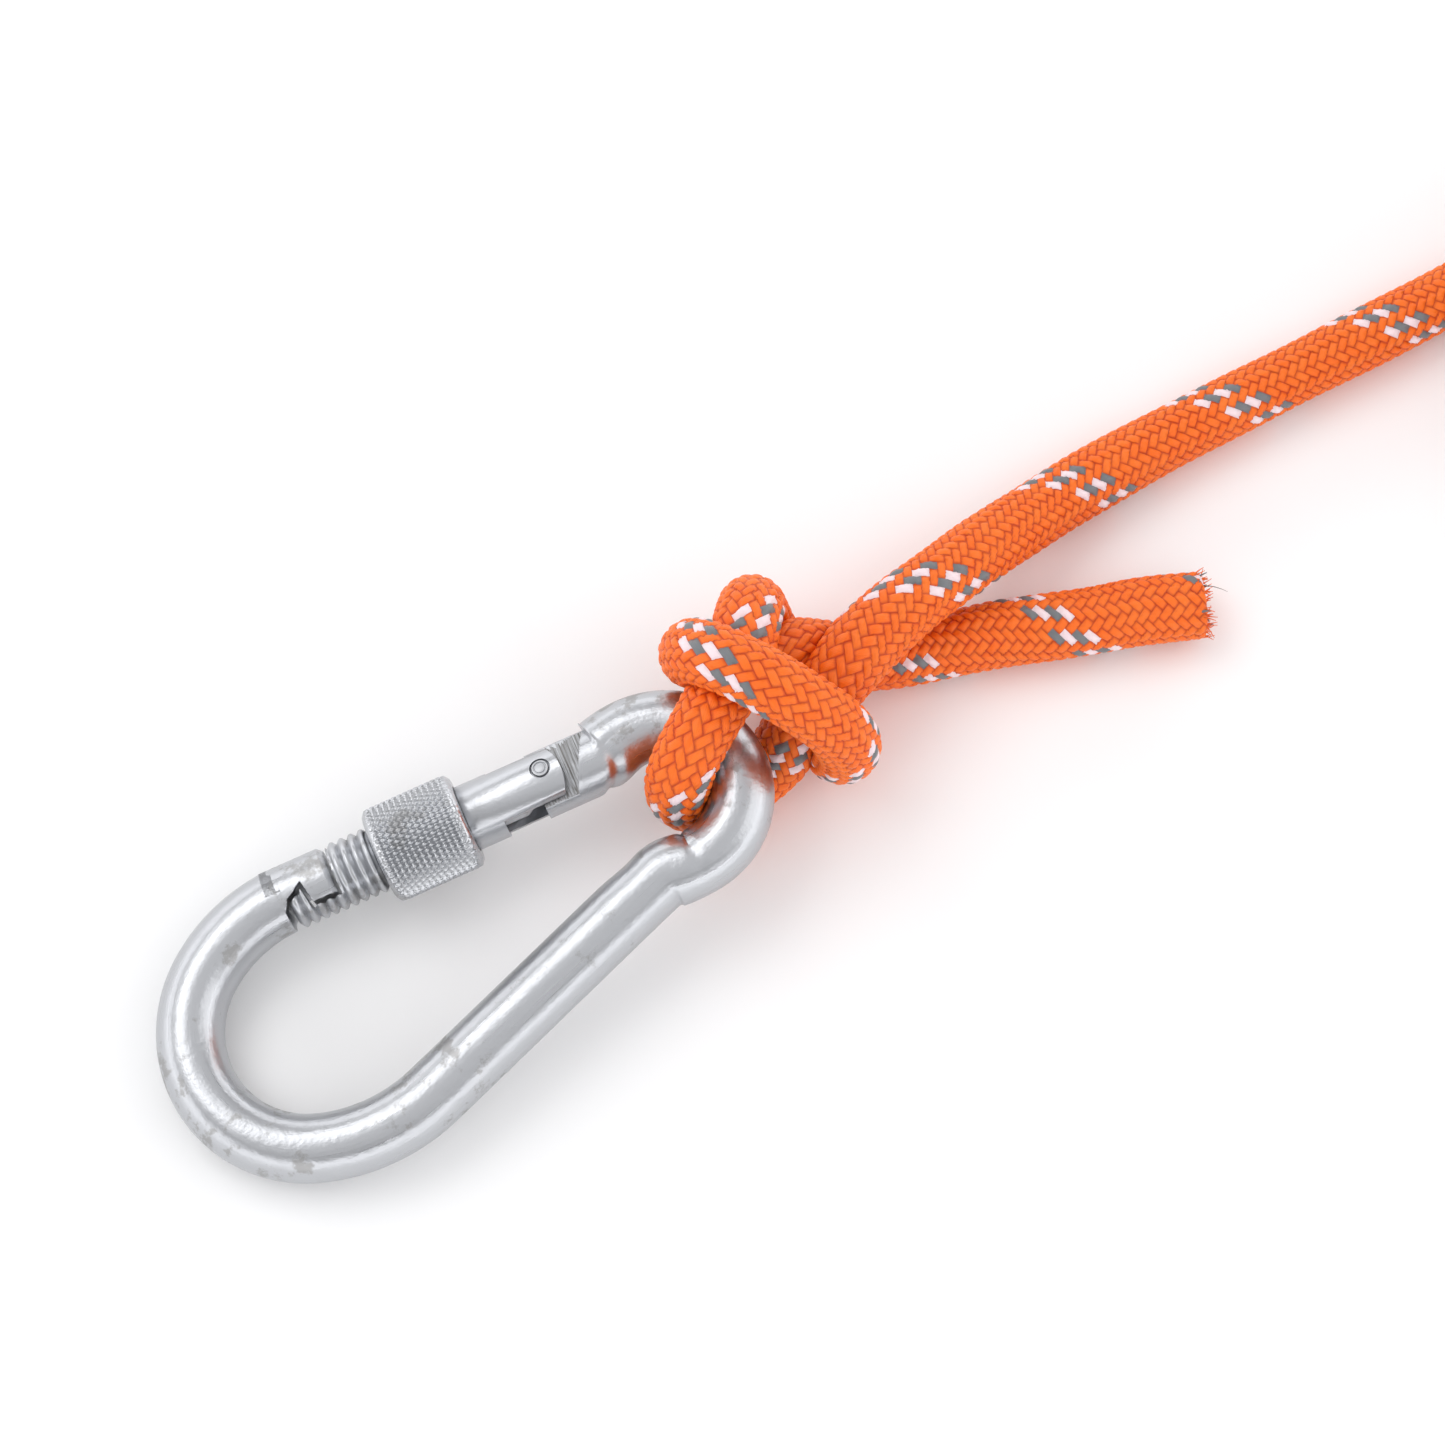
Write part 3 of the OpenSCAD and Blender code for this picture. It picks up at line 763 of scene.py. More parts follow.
# Turn of the braid about the rope, in whole turns, at distances along it in millimetres.
TWIST = [(0, 0.30), (15, 0.30), (36, 0.14), (80, 0.42), (100, 0.42), (150, 0.28), (165, 0.28),
         (205, 0.61), (232, 0.74), (2200, 0.74)]


def hank_route(r):
    """Centreline of the hank's turns, each a long round-ended loop.

    Quarter 0 runs away from the hook, 1 is the far loop, 2 runs back and 3 is the near loop.
    The rope steps in, out or up by one turn_step over a whole quarter, so that it never
    crosses another stretch at its own height.
    """
    q = np.arange(0.0, HANK_END + 1e-6, 0.05)
    part, whole = np.mod(q, 4), np.floor(q / 4)
    done = lambda quarters: sum(smooth_step(q - start) for start in quarters)
    radius = r.hank_r + r.turn_step * (done(STEPS_OUT) - done(STEPS_IN))
    turn = TAU / 4 - TAU * whole - TAU / 2 * (np.clip(part - 1, 0, 1) + np.clip(part - 3, 0, 1))
    away = np.clip(part, 0, 1) - np.clip(part - 2, 0, 1)
    start = np.array(HANK_START) * MM
    x = start[0] + r.hank_run * away + radius * np.cos(turn)
    y = start[1] - r.hank_r + radius * np.sin(turn)
    return np.stack([x, y, start[2] + r.turn_step * done(CLIMBS)], -1)


def smooth_curve(points, step):
    """A curve through points, by Catmull-Rom spans, then even steps along its length."""
    p = np.concatenate([[2 * points[0] - points[1]], points, [2 * points[-1] - points[-2]]])
    t = np.linspace(0, 1, 12, endpoint=False)[None, :, None]
    a, b, c, d = (p[k:len(p) - 3 + k][:, None] for k in range(4))
    spans = 0.5 * (2 * b + (c - a) * t + (2 * a - 5 * b + 4 * c - d) * t ** 2
                   + (3 * b - a - 3 * c + d) * t ** 3)
    dense = np.concatenate([spans.reshape(-1, 3), points[-1:]])
    walked = np.concatenate([[0], np.cumsum(np.linalg.norm(np.diff(dense, axis=0), axis=1))])
    even = np.linspace(0, walked[-1], round(walked[-1] / step) + 1)
    curve = np.stack([np.interp(even, walked, dense[:, k]) for k in range(3)], -1)
    return curve, even


def soften(values, width):
    """Averages values along their first axis over a window of 2 * width + 1, ends kept."""
    padded = np.concatenate([np.repeat(values[:1], width, 0), values,
                             np.repeat(values[-1:], width, 0)])
    total = np.cumsum(np.concatenate([np.zeros_like(padded[:1]), padded]), axis=0)
    window = 2 * width + 1
    return (total[window:] - total[:-window]) / window


def carried_frames(curve):
    """Headings and two side directions of a curve, carried along without twisting."""
    heading = unit(np.gradient(curve, axis=0))
    side = np.zeros_like(heading)
    u = np.cross(heading[0], (0.3, 0.2, 1.0))
    for i, t in enumerate(heading):
        u = u - (u @ t) * t
        u /= np.linalg.norm(u)
        side[i] = u
    return heading, side, np.cross(heading, side)


def pressed(curve, walked, aim, base, own_gap):
    """How far the rope reaches from its centre in each direction, in metres.

    Two stretches that lie closer than two radii share the room between them: each ends at the
    plane halfway between their centres, rounded off where the plane meets the round rope.
    """
    reach = np.full(aim.shape[:2], 1.0)
    others, other_walked = curve[::2], walked[::2]
    for start in range(0, len(curve), 60):
        part = slice(start, start + 60)
        between = others[None] - curve[part][:, None]
        gap = np.linalg.norm(between, axis=-1)
        near = (np.abs(other_walked[None] - walked[part][:, None]) > own_gap) & (gap < 3 * base)
        towards = between / np.maximum(gap, 1e-9)[..., None]
        facing = np.einsum("ikc,ijc->ijk", towards, aim[part])
        limit = np.where(near[:, None] & (facing > 0.08),
                         0.5 * gap[:, None] / np.maximum(facing, 0.08), 1.0)
        reach[part] = limit.min(-1)
    return reach


def rod_samples(h, lie):
    """Centreline points of the eye's end of the rod, in the frame."""
    points = rod_centreline(h, 0.4 * MM, 0.4 * MM)[0]
    points = points[points[:, 0] > 36 * MM]
    return lie.plane(np.concatenate([points, np.zeros((len(points), 1))], -1))


def push_off(points, rod, clear):
    """Moves points that are nearer than clear to the rod's centreline straight off it."""
    flat = points.reshape(-1, 3)
    close = np.linalg.norm(flat - rod.mean(0), axis=1) < 30 * MM
    subset = flat[close]
    nearest = np.empty_like(subset)
    for start in range(0, len(subset), 4000):
        part = slice(start, start + 4000)
        gap = ((subset[part, None] - rod[None]) ** 2).sum(-1)
        nearest[part] = rod[gap.argmin(1)]
    off = subset - nearest
    size = np.linalg.norm(off, axis=1, keepdims=True)
    flat[close] = np.where(size < clear, nearest + off / np.maximum(size, 1e-9) * clear, subset)
    return flat.reshape(points.shape)


class Rope:
    """The whole rope as one swept surface, from the tail's cut end to the hank's end."""

    around = 88
    fine = 0.36 * MM
    knot_rings = 900  # fine rings that hold the tail, the knot and the start of the line
    past_exit = 110  # rings after the knot's exit that may still be pressed
    thin_out = 5  # beyond the plain stretch's start only every so many rings is kept
    softness = 10.0  # power that rounds a ring off where it meets a pressed plane

    def __init__(self, h, r, lie):
        self.r = r
        knot = np.array(KNOT_ROUTE) * MM
        free = np.array(LINE_ROUTE) * MM
        route = lie.table(np.concatenate([knot, free, hank_route(r)]))
        curve, walked = smooth_curve(route, self.fine)
        curve[:self.knot_rings] = soften(curve, 3)[:self.knot_rings]
        exit_at = lie.table(knot[-1])
        gaps = np.linalg.norm(curve - exit_at, axis=1)
        self.exit = int(gaps[:self.knot_rings].argmin())
        self.plain = self.exit + round(110 * MM / self.fine)
        keep = np.concatenate([np.arange(self.plain),
                               np.arange(self.plain, len(curve), self.thin_out)])
        if keep[-1] != len(curve) - 1:
            keep = np.append(keep, len(curve) - 1)
        heading, side, up = carried_frames(curve)
        self.curve, self.walked = curve[keep], walked[keep]
        self.heading, self.side, self.up = heading[keep], side[keep], up[keep]
        self.rod = rod_samples(h, lie)
        self.build(h)

    def build(self, h):
        r, n = self.r, len(self.curve)
        turn = TAU * np.arange(self.around) / self.around
        aim = (np.cos(turn)[None, :, None] * self.side[:, None]
               + np.sin(turn)[None, :, None] * self.up[:, None])
        leave = self.walked[self.exit]
        base = np.interp(self.walked, [34 * MM, 52 * MM, leave - 8 * MM, leave + 10 * MM,
                                       leave + 62 * MM],
                         [r.tail_r, r.knot_r, r.knot_r, r.leave_r, r.line_r])
        swell = (0.06 * np.sin(self.walked / (7.3 * MM)) + 0.05 * np.sin(self.walked / (3.1 * MM))
                 + 0.04 * np.sin(self.walked / (17 * MM))) * MM
        base = base + swell
        tight = self.exit + self.past_exit
        reach = np.repeat(base[:, None], self.around, 1)
        full = reach[:tight]
        limit = pressed(self.curve[:tight], self.walked[:tight], aim[:tight], r.tail_r, 3 * MM)
        power = self.softness
        shape = lambda size: (size ** -power + limit ** -power) ** (-1 / power)
        area = (shape(full) ** 2).mean(1)
        bulge = np.clip(np.sqrt(0.95 * base[:tight] ** 2 / area), 1, 1.15)
        bulge = soften(bulge[:, None], 9)
        reach[:tight] = shape(full * bulge)
        self.phases(aim, reach)
        cover = self.cover()
        fade = 1 - smooth_step((np.arange(n) - self.plain + 20) / 20)
        reach = reach + r.relief * (cover - 0.6) * fade[:, None]
        rounded = np.clip((self.walked[:, None] + 0.15 * MM) / (1.3 * MM), 0, 1)
        reach = reach * (0.80 + 0.20 * np.sqrt(1 - (1 - rounded) ** 2))
        points = self.curve[:, None] + aim * reach[..., None]
        points[:tight] = push_off(points[:tight], self.rod, h.rod_r + 0.02 * MM)
        points[..., 2] = np.maximum(points[..., 2], 0.05 * MM)
        self.points = points

    def phases(self, aim, reach):
        """Yarn phases at each grid point and at the closing column."""
        ring = aim * reach[..., None]
        edge = np.linalg.norm(np.roll(ring, -1, 1) - ring, axis=-1)
        share = np.concatenate([np.zeros((len(edge), 1)), np.cumsum(edge, 1)], 1)
        share = share / share[:, -1:]
        along = (self.walked / self.r.lead)[:, None]
        twist = np.interp(self.walked, *np.array(TWIST).T * [[MM], [1]])[:, None]
        self.uv = self.r.yarns * np.stack([share + twist + along, share + twist - along], -1)

    def cover(self):
        """Height of the stitches, from 0 in the gaps to 1 on top: a pillow in each cell that
        is flat across its yarn and arched along it."""
        a, b = np.moveaxis(self.uv[:, :-1], -1, 0)
        i, j = np.floor(a), np.floor(b)
        second = (i + j) % 4 > 1.5
        across = np.abs(2 * np.where(second, b - j, a - i) - 1)
        along = np.abs(np.where(second, (a + j + 2) % 4, (i + b) % 4) - 1)
        return (1 - across ** 5) * (1 - along ** 2.6)

    def shape(self, rows):
        """The stretch of the rope made of these rings, closed at both ends."""
        shape = Shape()
        first = shape.grid(self.points[rows], self.uv[rows])
        count = len(self.points[rows])
        ring = np.arange(self.around)
        shape.cap(first + ring, self.points[rows][0].mean(0), False, self.uv[rows][0, 0])
        shape.cap(first + (count - 1) * self.around + ring,
                  self.points[rows][-1].mean(0), True, self.uv[rows][-1, 0])
        return shape


def fray_shape(rope, seed, count, reach, thick, spread):
    """Loose filaments at the tail's cut end: thin tapering tubes that bend away from it."""
    rng = np.random.default_rng(seed)
    start = rope.points[3]
    centre, back = rope.curve[0], -rope.heading[0]
    shape = Shape()
    turn = TAU * np.arange(5) / 5
    step = np.linspace(0, 1, 9)[:, None]
    for _ in range(count):
        root = start[rng.integers(rope.around)]
        root = centre + (root - centre) * rng.uniform(0.55, 0.98)
        root[2] = max(root[2], 0.4 * MM)
        way = unit(back + spread * unit(root - centre) + rng.normal(0, 0.35, 3))
        bend = rng.normal(0, 0.5, 3)
        size = reach * rng.uniform(0.35, 1)
        path = root + size * (way * step + bend * step ** 2 * 0.6)
        path[:, 2] = np.maximum(path[:, 2], 0.15 * MM)
        heading, side, up = carried_frames(path)
        ring = np.cos(turn)[:, None] * side[:, None] + np.sin(turn)[:, None] * up[:, None]
        grid = path[:, None] + ring * (thick * (1.05 - 0.8 * step))[..., None]
        first = shape.grid(grid)
        shape.cap(first + np.arange(5), path[0], False)
        shape.cap(first + 8 * 5 + np.arange(5), path[-1], True)
    return shape


def strap_shape(r, lie):
    """The strap round the hank: one long loop of flat webbing with its end lapped over.

    Its path is a rounded rectangle round the hank's section, and it spirals out by its own
    thickness where the end laps.  The section across the path is a flat bar with round edges.
    """
    half_w, half_h = r.hank_r + 4 * MM, 12 * MM
    corner = 4 * MM
    lap = 0.16
    t = np.linspace(-0.02, 1 + lap, 420)
    turn = TAU * (t + 0.125)
    box = np.array([half_w - corner, half_h - corner])
    way = np.stack([np.cos(turn), np.sin(turn)], -1)
    core = np.clip(way * 1.5 * box.max(), -box, box)
    lift = 0.1 * MM + 0.5 * r.strap_t * (0.5 + smooth_step((t - 0.96) / 0.08))
    out = unit(way * 1.5 * box.max() - core + way * 1e-6)
    path = core + out * (corner + lift[:, None])
    middle = lie.table((HANK_START[0] * MM + r.hank_run / 2,
                        HANK_START[1] * MM - r.hank_r, r.strap_t + half_h))
    edge = TAU * np.arange(24) / 24
    wide = r.strap_w / 2 * np.sign(np.cos(edge)) * np.abs(np.cos(edge)) ** 0.35
    thick = 0.24 * r.strap_t * np.sign(np.sin(edge)) * np.abs(np.sin(edge)) ** 0.6
    flat = path[:, None] + out[:, None] * thick[None, :, None]
    grid = middle + np.stack([np.broadcast_to(wide, flat.shape[:2]), flat[..., 0],
                              flat[..., 1]], -1)
    grid[..., 2] = np.maximum(grid[..., 2], 0.05 * MM)
    walked = np.linspace(0, 2 * TAU * half_w, len(t))
    uv = np.stack(np.broadcast_arrays(walked[:, None], np.append(wide, wide[0])[None]), -1)
    shape = Shape()
    first = shape.grid(grid, uv)
    ring = np.arange(24)
    shape.cap(first + ring, grid[0].mean(0), False)
    shape.cap(first + (len(t) - 1) * 24 + ring, grid[-1].mean(0), True)
    return shape


def strap_material(c):
    """Black webbing: ribs across the strap under a short fuzz."""
    material, g, shader = new_material("TieStrap", Roughness=0.8)
    ribs = g.node("ShaderNodeTexWave", {
        "Vector": g.surface(), "Scale": 420.0, "Distortion": 1.2}).outputs["Fac"]
    fuzz = g.noise(g.place_of(), 2400.0, 2.0)
    tint = g.mix(g.ramp(ribs, 0, 1), rgba(c.strap), (0.05, 0.05, 0.055, 1))
    g.feed(shader.inputs["Base Color"], tint)
    g.feed(shader.inputs["Normal"], g.node("ShaderNodeBump", {
        "Height": g.math("ADD", ribs, fuzz), "Strength": 0.6, "Distance": 0.0002}).outputs[0])
    return material


class BuildRope(bpy.types.Operator):
    """Makes the free line with its strapped hank, which is a cord, and the knotted tail"""
    bl_idname = "snap_hook.rope"
    bl_label = "Rope, Knot And Hank"

    def execute(self, context):
        scene = context.scene
        h, r, c = scene.hook_sizes, scene.rope_sizes, scene.hook_colours
        lie = Lie(h)
        rope = Rope(h, r, lie)
        material = rope_material(c, r.yarns)
        strap = place("hank_strap", strap_shape(r, lie).mesh("hank_strap"), strap_material(c),
                      "hook", "tie_strap", ("hank_tie",), sharp=math.radians(60))
        free = slice(rope.exit, None)
        line_piece = place("free_rope", rope.shape(free).mesh("free_rope"), material,
                           "hook", "rope_sheath", ("rope_line", "rope_hank"))
        centre = rope.curve[free]
        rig.cord(line_piece, exit=centre[0], length=rope.walked[-1] - rope.walked[rope.exit],
                diameter=8 * MM, far_end="bare", stiffness="limp", lay="coiled", path=centre,
                with_pieces=[strap])
        tied = slice(None, rope.exit + 1)
        place("knot_and_tail", rope.shape(tied).mesh("knot_and_tail"), material,
              "hook", "rope_sheath", ("rope_knot",))
        for name, tint, settings in (
                ("frayed_orange", c.sheath, (5, 150, 1.7 * MM, 0.13 * MM, 0.25)),
                ("frayed_grey", c.grey_yarn, (8, 12, 1.7 * MM, 0.2 * MM, 0.5)),
                ("frayed_dark", (0.03, 0.03, 0.035), (3, 2, 3.6 * MM, 0.08 * MM, 0.6))):
            yarn, graph, shader = new_material(name, Roughness=0.6)
            hue = graph.mix(graph.noise(graph.place_of(), 900.0), rgba(tint),
                            rgba([0.6 * x for x in tint]))
            graph.feed(shader.inputs["Base Color"], hue)
            place(name, fray_shape(rope, *settings).mesh(name), yarn, "hook", "rope_sheath")
        return {"FINISHED"}


# ---------------------------------------------------------------- steel pieces


def rod_section(h, q_low, q_step, centre, strip, radius, around):
    """Distances from each ring's centre to the rod's cut outline, in each direction.

    A ring's outline is a circle, cut by a chord at q_low, and thinned to the tongue's flats
    beyond q_step, or all over where strip is set.
    """
    turn = TAU * (np.arange(around) + 0.5) / around
    cos, sin = np.cos(turn)[None], np.sin(turn)[None]
    o = centre[:, None]
    circle = -o * cos + np.sqrt(np.maximum(radius[:, None] ** 2 - (o * sin) ** 2, 1e-12))
    with np.errstate(divide="ignore", invalid="ignore"):
        chord = np.where(cos < 0, (q_low[:, None] - o) / np.minimum(cos, -1e-9), 1.0)
        flat = h.tongue_half / np.abs(sin)
        reach = np.where(cos > 0, np.maximum(q_step[:, None] - o, 0) / np.maximum(cos, 1e-9), 0)
    thin = (cos > 0) | strip[:, None]
    flat = np.where(thin, np.maximum(flat, reach), 1.0)
    return np.minimum(np.minimum(circle, chord), flat), cos, sin


def pressed_marks(walked, cos, sin, spine_at, gate_at):
    """What the bending press leaves at the two pinches, as a change of the rod's radius.

    The eye's outer side swells before the gate's pinch and ends there in a sharp step.  A fold
    crosses each pinch, and a shallow flat lies beside the one on the spine.
    """
    bell = lambda x, wide: np.exp(-(x / wide) ** 2)
    outer, inner = np.clip(cos, 0, 1), np.clip(-cos, 0, 1)
    before = gate_at + 1.1 * MM - walked
    swell = 1.15 * MM * np.exp(-np.clip(before, 0, None) / (3.4 * MM)) * smooth_step(
        before / (0.45 * MM) + 0.5)
    fold = 0.5 * MM * bell(walked - gate_at - 1.6 * MM - 1.2 * MM * sin, 0.55 * MM)
    corner = 0.42 * MM * bell(walked - spine_at - 2.4 * MM, 1.7 * MM)
    crease = 0.28 * MM * bell(walked - spine_at - 4.3 * MM + 1.0 * MM * sin, 0.5 * MM)
    flat = 0.25 * MM * bell(walked - spine_at + 1.5 * MM, 2.4 * MM)
    return (swell * outer ** 0.8 - fold * (0.25 + 0.75 * inner)
            + corner * outer ** 2 - crease * (1 - outer) - flat * inner ** 2)


def hook_shape(h, lie):
    """The bent rod as one grid: a ring of points round the centreline at each step of it."""
    points, heads, count, g_dir = rod_centreline(h, 0.55 * MM, 0.12 * MM)
    out = np.stack([heads[:, 1], -heads[:, 0]], -1)
    n, around = len(points), 160
    station = points @ g_dir
    nose = np.arange(n) <= count[0] + count[1]
    tongue = np.arange(n) >= n - count[-1] - 1
    back = h.nose_end - h.head_len
    cut = np.array([(-4.05, -24), (-3.85, -3.1), (-2.55, -1.2), (-0.45, 0.05)]) * MM + [back, 0]
    outline = np.concatenate([cut, [[back, -h.head_drop], [h.nose_end, -h.head_drop]]])
    low = np.where(nose, np.interp(station, *outline.T, left=-1), -1.0)
    q_step = np.where(tongue, (station - h.shoulder_at) / h.shoulder_lean, 1.0)
    strip = q_step < -math.sqrt(h.rod_r ** 2 - h.tongue_half ** 2)
    walk = np.arange(n)
    last_step = np.argmax(strip) if strip.any() else n
    settle = np.clip(1 - (walk - last_step) * 0.12 / 3.0, 0, 1)
    centre = np.where(low > -1 * MM, low + 1 * MM, 0.0)
    centre = np.where(tongue & ~strip, np.minimum(q_step, 0), centre)
    centre = np.where(strip, -math.sqrt(h.rod_r ** 2 - h.tongue_half ** 2) * settle, centre)
    radius = h.rod_r - np.where(nose, np.clip(station - h.nose_end + h.nose_chamfer, 0, None), 0)
    reach, cos, sin = rod_section(h, low, q_step, centre, strip, radius, around)
    walked = np.concatenate([[0], np.cumsum(np.linalg.norm(np.diff(points, axis=0), axis=1))])
    starts = walked[np.cumsum(count)]
    reach = reach + pressed_marks(walked[:, None], cos, sin, starts[5], starts[7])
    q = centre[:, None] + reach * cos
    up = -reach * sin
    flat = points[:, None] + q[..., None] * out[:, None]
    grid = lie.plane(np.concatenate([flat, up[..., None]], -1))
    ring = np.arange(around + 1) / around * TAU * h.rod_r
    milled = np.abs(np.abs(up) - h.tongue_half) < 1e-6
    milled = np.concatenate([milled, milled[:, :1]], 1) * MILLED
    uv = np.stack([np.broadcast_to(walked[:, None], milled.shape), ring[None] + milled], -1)
    shape = Shape()
    first = shape.grid(grid, uv)
    hub = lie.plane(np.concatenate([points + centre[:, None] * out, np.zeros((n, 1))], -1))
    ends = np.arange(around)
    shape.cap(first + ends, hub[0], False, uv[0, 0])
    shape.cap(first + (n - 1) * around + ends, hub[-1], True, uv[-1, 0])
    return shape


class BuildHook(bpy.types.Operator):
    """Makes the bent rod with its nose and tongue"""
    bl_idname = "snap_hook.hook"
    bl_label = "Hook Body"

    def execute(self, context):
        scene = context.scene
        h = scene.hook_sizes
        material = steel_material("ZincRod", scene.hook_colours, 1.1, 0.26, 0.0001,
                                  grain_strength=0.5)
        place("hook_rod", hook_shape(h, Lie(h)).mesh("hook_rod"), material, "hook", "zinc_rod",
              ("hook_body",), sharp=math.radians(38))
        return {"FINISHED"}


def turned_grid(lie, h, stations, radii, around):
    """A surface turned round the gate line: radii[row, column] at stations[row, column]."""
    turn = TAU * np.arange(around) / around
    stations = np.broadcast_to(np.asarray(stations, float), radii.shape)
    local = np.stack([stations, radii * np.cos(turn), radii * np.sin(turn)], -1)
    ring = np.arange(around + 1) / around * TAU * radii.max()
    uv = np.stack(np.broadcast_arrays(stations[:, :1], ring[None]), -1)
    return lie.gate(h, local), uv


class BuildSleeve(bpy.types.Operator):
    """Makes the knurled screw sleeve"""
    bl_idname = "snap_hook.sleeve"
    bl_label = "Screw Sleeve"

    def execute(self, context):
        scene = context.scene
        h, v = scene.hook_sizes, scene.sleeve_sizes
        lie = Lie(h)
        around = 352
        end = v.start + v.long
        rise = v.chamfer
        step = 0.1 * MM
        face = np.linspace(v.start + rise * 0.6, end - rise * 0.6,
                           round((v.long - 1.2 * rise) / step) + 1)
        turn = np.arange(around) / around
        first = v.knurl_count * (turn[None] + (face / v.knurl_lead)[:, None])
        second = v.knurl_count * (turn[None] - (face / v.knurl_lead)[:, None])
        ridge = lambda phase: 1 - np.abs(2 * (phase - np.floor(phase)) - 1)
        diamond = np.minimum(ridge(first), ridge(second))
        crown = np.clip(diamond * 1.5, 0, 1)
        edge = smooth_step(np.minimum(face - v.start, end - face) / (1.0 * MM) - 0.35)
        radius = (v.diameter / 2 - v.knurl_depth * (1 - crown) * np.maximum(edge, 0.15)[:, None]
                  - 0.10 * MM * (1 - edge)[:, None])
        flank = v.diameter / 2 - v.chamfer
        rows = lambda r, s: (np.full((1, around), r), np.full((1, 1), s))
        rings = [rows(v.bore_r, end), rows(v.bore_r, v.start),
                 rows(v.bore_r + 0.25 * MM, v.start), rows(flank, v.start),
                 rows(flank + 0.12 * MM, v.start + 0.04 * MM)]
        outer = [rows(flank + 0.12 * MM, end - 0.04 * MM), rows(flank, end),
                 rows(v.bore_r + 0.25 * MM, end), rows(v.bore_r, end)]
        radii = np.concatenate([a for a, _ in rings] + [radius] + [a for a, _ in outer])
        stations = np.concatenate([b for _, b in rings] + [face[:, None]] + [b for _, b in outer])
        grid, uv = turned_grid(lie, h, stations, radii, around)
        shape = Shape()
        shape.grid(grid[:, ::-1], uv[:, ::-1])
        material = steel_material("KnurledZinc", scene.hook_colours, 0.7, 0.2, 0.00002)
        place("knurled_sleeve", shape.mesh("knurled_sleeve"), material, "sleeve",
              "knurled_zinc", ("lock_sleeve",), sharp=math.radians(50))
        return {"FINISHED"}


def merged_copy(node):
    """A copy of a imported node's mesh with its loose triangles joined."""
    mesh = frame["nodes"][node].data.copy()
    work = bmesh.new()
    work.from_mesh(mesh)
    bmesh.ops.remove_doubles(work, verts=work.verts, dist=1e-6)
    work.to_mesh(mesh)
    work.free()
    mesh.materials.clear()
    while mesh.uv_layers:
        mesh.uv_layers.remove(mesh.uv_layers[0])
    return mesh


def pin_shape(h, lie):
    """The hinge pin, riveted over and dressed flush: each end follows the tube's outside, with
    a dark groove at its rim and a shallow one round its middle."""
    rim = np.array([(1.24, -0.8), (1.22, -0.5), (1.06, -0.46), (1.02, -0.06), (0.96, 0.02),
                    (0.80, 0.03), (0.74, -0.1), (0.66, -0.1), (0.60, 0.04), (0.42, 0.08),
                    (0.2, 0.10)]) * MM
    profile = np.concatenate([rim[::-1] * [1, -1], rim])
    side = np.concatenate([-np.ones(len(rim)), np.ones(len(rim))])[:, None]
    turn = TAU * np.arange(64) / 64
    along = h.pin_at + profile[:, :1] * np.cos(turn)
    out = h.pin_rise + profile[:, :1] * np.sin(turn)
    up = side * np.sqrt(h.rod_r ** 2 - out ** 2) + profile[:, 1:]
    shape = Shape()
    grid = lie.gate(h, np.stack([along, out, up], -1))
    first = shape.grid(grid)
    ring = np.arange(64)
    shape.cap(first + ring, grid[0].mean(0), False)
    shape.cap(first + (len(grid) - 1) * 64 + ring, grid[-1].mean(0), True)
    return shape


class BuildGate(bpy.types.Operator):
    """Makes the gate, pin and coil spring, and finishes the plunger and thread ring"""
    bl_idname = "snap_hook.gate"
    bl_label = "Gate"

    def execute(self, context):
        scene = context.scene
        h = scene.hook_sizes
        material = steel_material("ZincGate", scene.hook_colours, 0.9, 0.25, 0.00008,
                                  grain_strength=0.45)
        pin = steel_material("PinSteel", scene.hook_colours, 2.2, 0.42, 0.00003)
        place("gate_tube", merged_copy("gate"), material, "gate", "zinc_gate", ("gate",),
              sharp=math.radians(30))
        lie = Lie(h)
        place("riveted_pin", pin_shape(h, lie).mesh("riveted_pin"), pin, "gate", "pin_steel",
              ("hinge_pin",), sharp=math.radians(45))
        spring = place("gate_coil_spring", merged_copy("gate_spring"), pin, "gate",
                       "spring_steel", ("gate_spring",), sharp=math.radians(60))
        ends = lie.gate(h, np.array([[0, 0, 0], [1.0, 0, 0]]))
        foot = lie.gate(h, np.array([h.tongue_at - SPRING_FOOT, -SPRING_DROP, 0]))
        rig.squash(spring, "plunger_slide", tuple(ends[1] - ends[0]), tuple(foot),
                  keep=SPRING_KEEP)
        for node in ("spring_plunger", "sleeve_thread"):
            slots = frame["nodes"][node].data.materials
            slots.clear()
            slots.append(pin)
        return {"FINISHED"}


# ---------------------------------------------------------------- stage


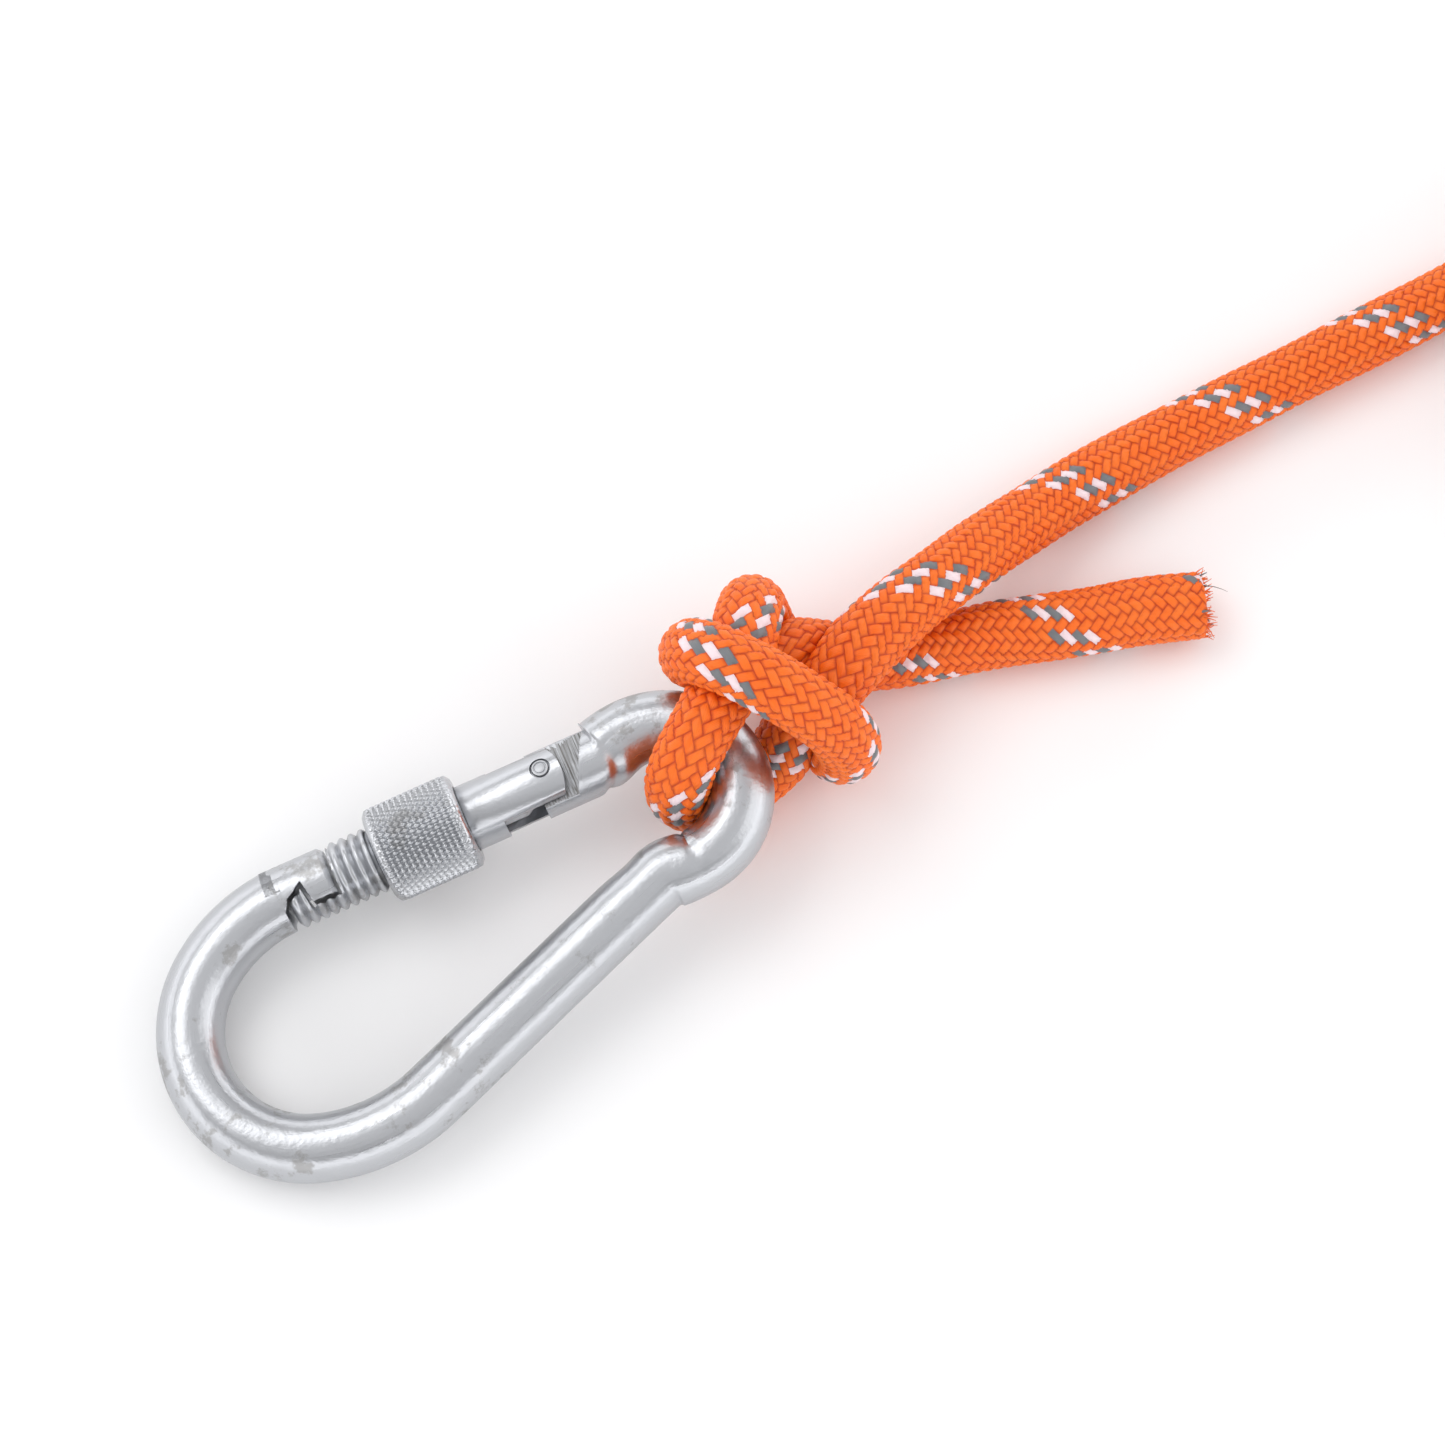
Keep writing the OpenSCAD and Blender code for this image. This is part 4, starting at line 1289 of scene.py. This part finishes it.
class BuildStage(bpy.types.Operator):
    """Makes the camera, the floor and the soft studio light"""
    bl_idname = "snap_hook.stage"
    bl_label = "Stage"

    def execute(self, context):
        scene = context.scene
        stage, c = scene.hook_stage, scene.hook_colours
        lie = Lie(scene.hook_sizes)
        self.camera(scene, stage, lie)
        self.floor(stage, c)
        centre = lie.table((60 * MM, 0, 0))
        self.light("KeyPanel", centre, (-0.35, 0.55, 0.95), 0.9, stage.key)
        self.light("FillPanel", centre, (0.75, -0.45, 0.75), 0.8, stage.fill)
        self.surroundings(scene, stage)
        scene.view_settings.view_transform = "Standard"
        return {"FINISHED"}

    def surroundings(self, scene, stage):
        """A white tent: a dim ceiling, a dark seam round it and bright walls below."""
        world = bpy.data.worlds.new("Surroundings")
        scene.world = world
        world.use_nodes = True
        g = Graph(world.node_tree)
        back = world.node_tree.nodes["Background"]
        way = g.node("ShaderNodeTexCoord").outputs["Generated"]
        height = g.node("ShaderNodeSeparateXYZ", {"Vector": way}).outputs["Z"]
        folds = g.noise(way, 1.7, 1.0)
        bent = g.math("MULTIPLY_ADD", folds, 0.22, g.math("SUBTRACT", height, 0.11))
        ramp = g.node("ShaderNodeValToRGB", {"Fac": bent})
        stops = ((0.0, 0.9), (0.16, 1.35), (0.44, 1.5), (0.50, 0.25), (0.62, 0.22),
                 (0.70, 0.62), (1.0, 0.68))
        elements = ramp.color_ramp.elements
        while len(elements) < len(stops):
            elements.new(0.5)
        for element, (at, level) in zip(elements, stops):
            element.position = at
            element.color = (level / 1.5, level / 1.5, level / 1.48, 1)
        g.feed(back.inputs["Color"], ramp.outputs["Color"])
        back.inputs["Strength"].default_value = 1.5 * stage.world

    def camera(self, scene, stage, lie):
        """Looks down at 70 degrees, turned 29.4 degrees about the vertical."""
        turn, tilt = math.radians(29.4), math.radians(20)
        right = (math.cos(turn), -math.sin(turn), 0)
        up = (math.sin(turn) * math.cos(tilt), math.cos(turn) * math.cos(tilt), math.sin(tilt))
        back = (-math.sin(turn) * math.sin(tilt), -math.cos(turn) * math.sin(tilt),
                math.cos(tilt))
        data = bpy.data.cameras.new("Camera")
        data.lens, data.sensor_width = stage.lens, 36
        data.clip_start, data.clip_end = 0.01, 20
        camera = bpy.data.objects.new("Camera", data)
        scene.collection.objects.link(camera)
        eye = lie.table(np.array([-20.5, -133.3, 455.4]) * MM)
        turned = Matrix((right, up, back)).transposed().to_4x4()
        camera.matrix_world = Matrix.Translation(eye) @ turned
        scene.camera = camera

    def floor(self, stage, c):
        turn = TAU * np.arange(96) / 96
        rings = np.array([0.05, 0.4, 1.0])[:, None] * stage.floor_r
        points = np.stack([rings * np.cos(turn), rings * np.sin(turn), 0 * rings * turn], -1)
        shape = Shape()
        shape.grid(points[:, ::-1])
        shape.cap(np.arange(96), (0, 0, 0), False)
        material, graph, shader = new_material("PaleFloor", Roughness=0.9)
        noise = graph.noise(graph.place_of(), 40.0, 2.0)
        tint = graph.mix(graph.ramp(noise, 0.3, 0.7, 0, 0.03), rgba(c.floor), (1, 1, 1, 1))
        graph.feed(shader.inputs["Base Color"], tint)
        mesh = shape.mesh("Floor")
        mesh.materials.append(material)
        floor = bpy.data.objects.new("Floor", mesh)
        bpy.context.scene.collection.objects.link(floor)
        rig.stage(floor)

    def light(self, name, centre, offset, size, power):
        data = bpy.data.lights.new(name, "AREA")
        data.shape, data.size, data.size_y, data.energy = "RECTANGLE", size, size * 0.7, power
        lamp = bpy.data.objects.new(name, data)
        bpy.context.scene.collection.objects.link(lamp)
        place_at = np.asarray(centre) + np.asarray(offset)
        back = unit(np.asarray(offset, float))
        right = unit(np.cross((0, 0, 1), back))
        up = np.cross(back, right)
        lamp.matrix_world = (Matrix.Translation(place_at)
                             @ Matrix((right, up, back)).transposed().to_4x4())


# ---------------------------------------------------------------- panel and registration


OPERATORS = (BuildStage, BuildRope, BuildHook, BuildSleeve, BuildGate)


class SnapHookPanel(bpy.types.Panel):
    """Lists the pieces in the order in which they are made"""
    bl_idname = "VIEW3D_PT_snap_hook"
    bl_label = "Snap Hook"
    bl_space_type = "VIEW_3D"
    bl_region_type = "UI"
    bl_category = "Snap Hook"

    def draw(self, context):
        for operator in OPERATORS:
            self.layout.operator(operator.bl_idname)


def register():
    for group in PROPERTY_GROUPS.values():
        bpy.utils.register_class(group)
    for name, group in PROPERTY_GROUPS.items():
        setattr(bpy.types.Scene, name, PointerProperty(type=group))
    for cls in (*OPERATORS, SnapHookPanel):
        bpy.utils.register_class(cls)


def unregister():
    for cls in (SnapHookPanel, *reversed(OPERATORS)):
        bpy.utils.unregister_class(cls)
    for name, group in PROPERTY_GROUPS.items():
        delattr(bpy.types.Scene, name)
        bpy.utils.unregister_class(group)


def main():
    """Registers the classes, makes the shared effects and every piece, and writes the sizes."""
    register()
    braid_group()
    wear_group()
    for operator in OPERATORS:
        family, name = operator.bl_idname.split(".")
        getattr(getattr(bpy.ops, family), name)()
    boxes = {"cad": CAD_BOX, "visual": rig.bounds()}
    with open(SIZE_FILE, "w") as file:
        json.dump({key: [list(corner) for corner in box] for key, box in boxes.items()}, file)


if __name__ == "__main__":
    main()
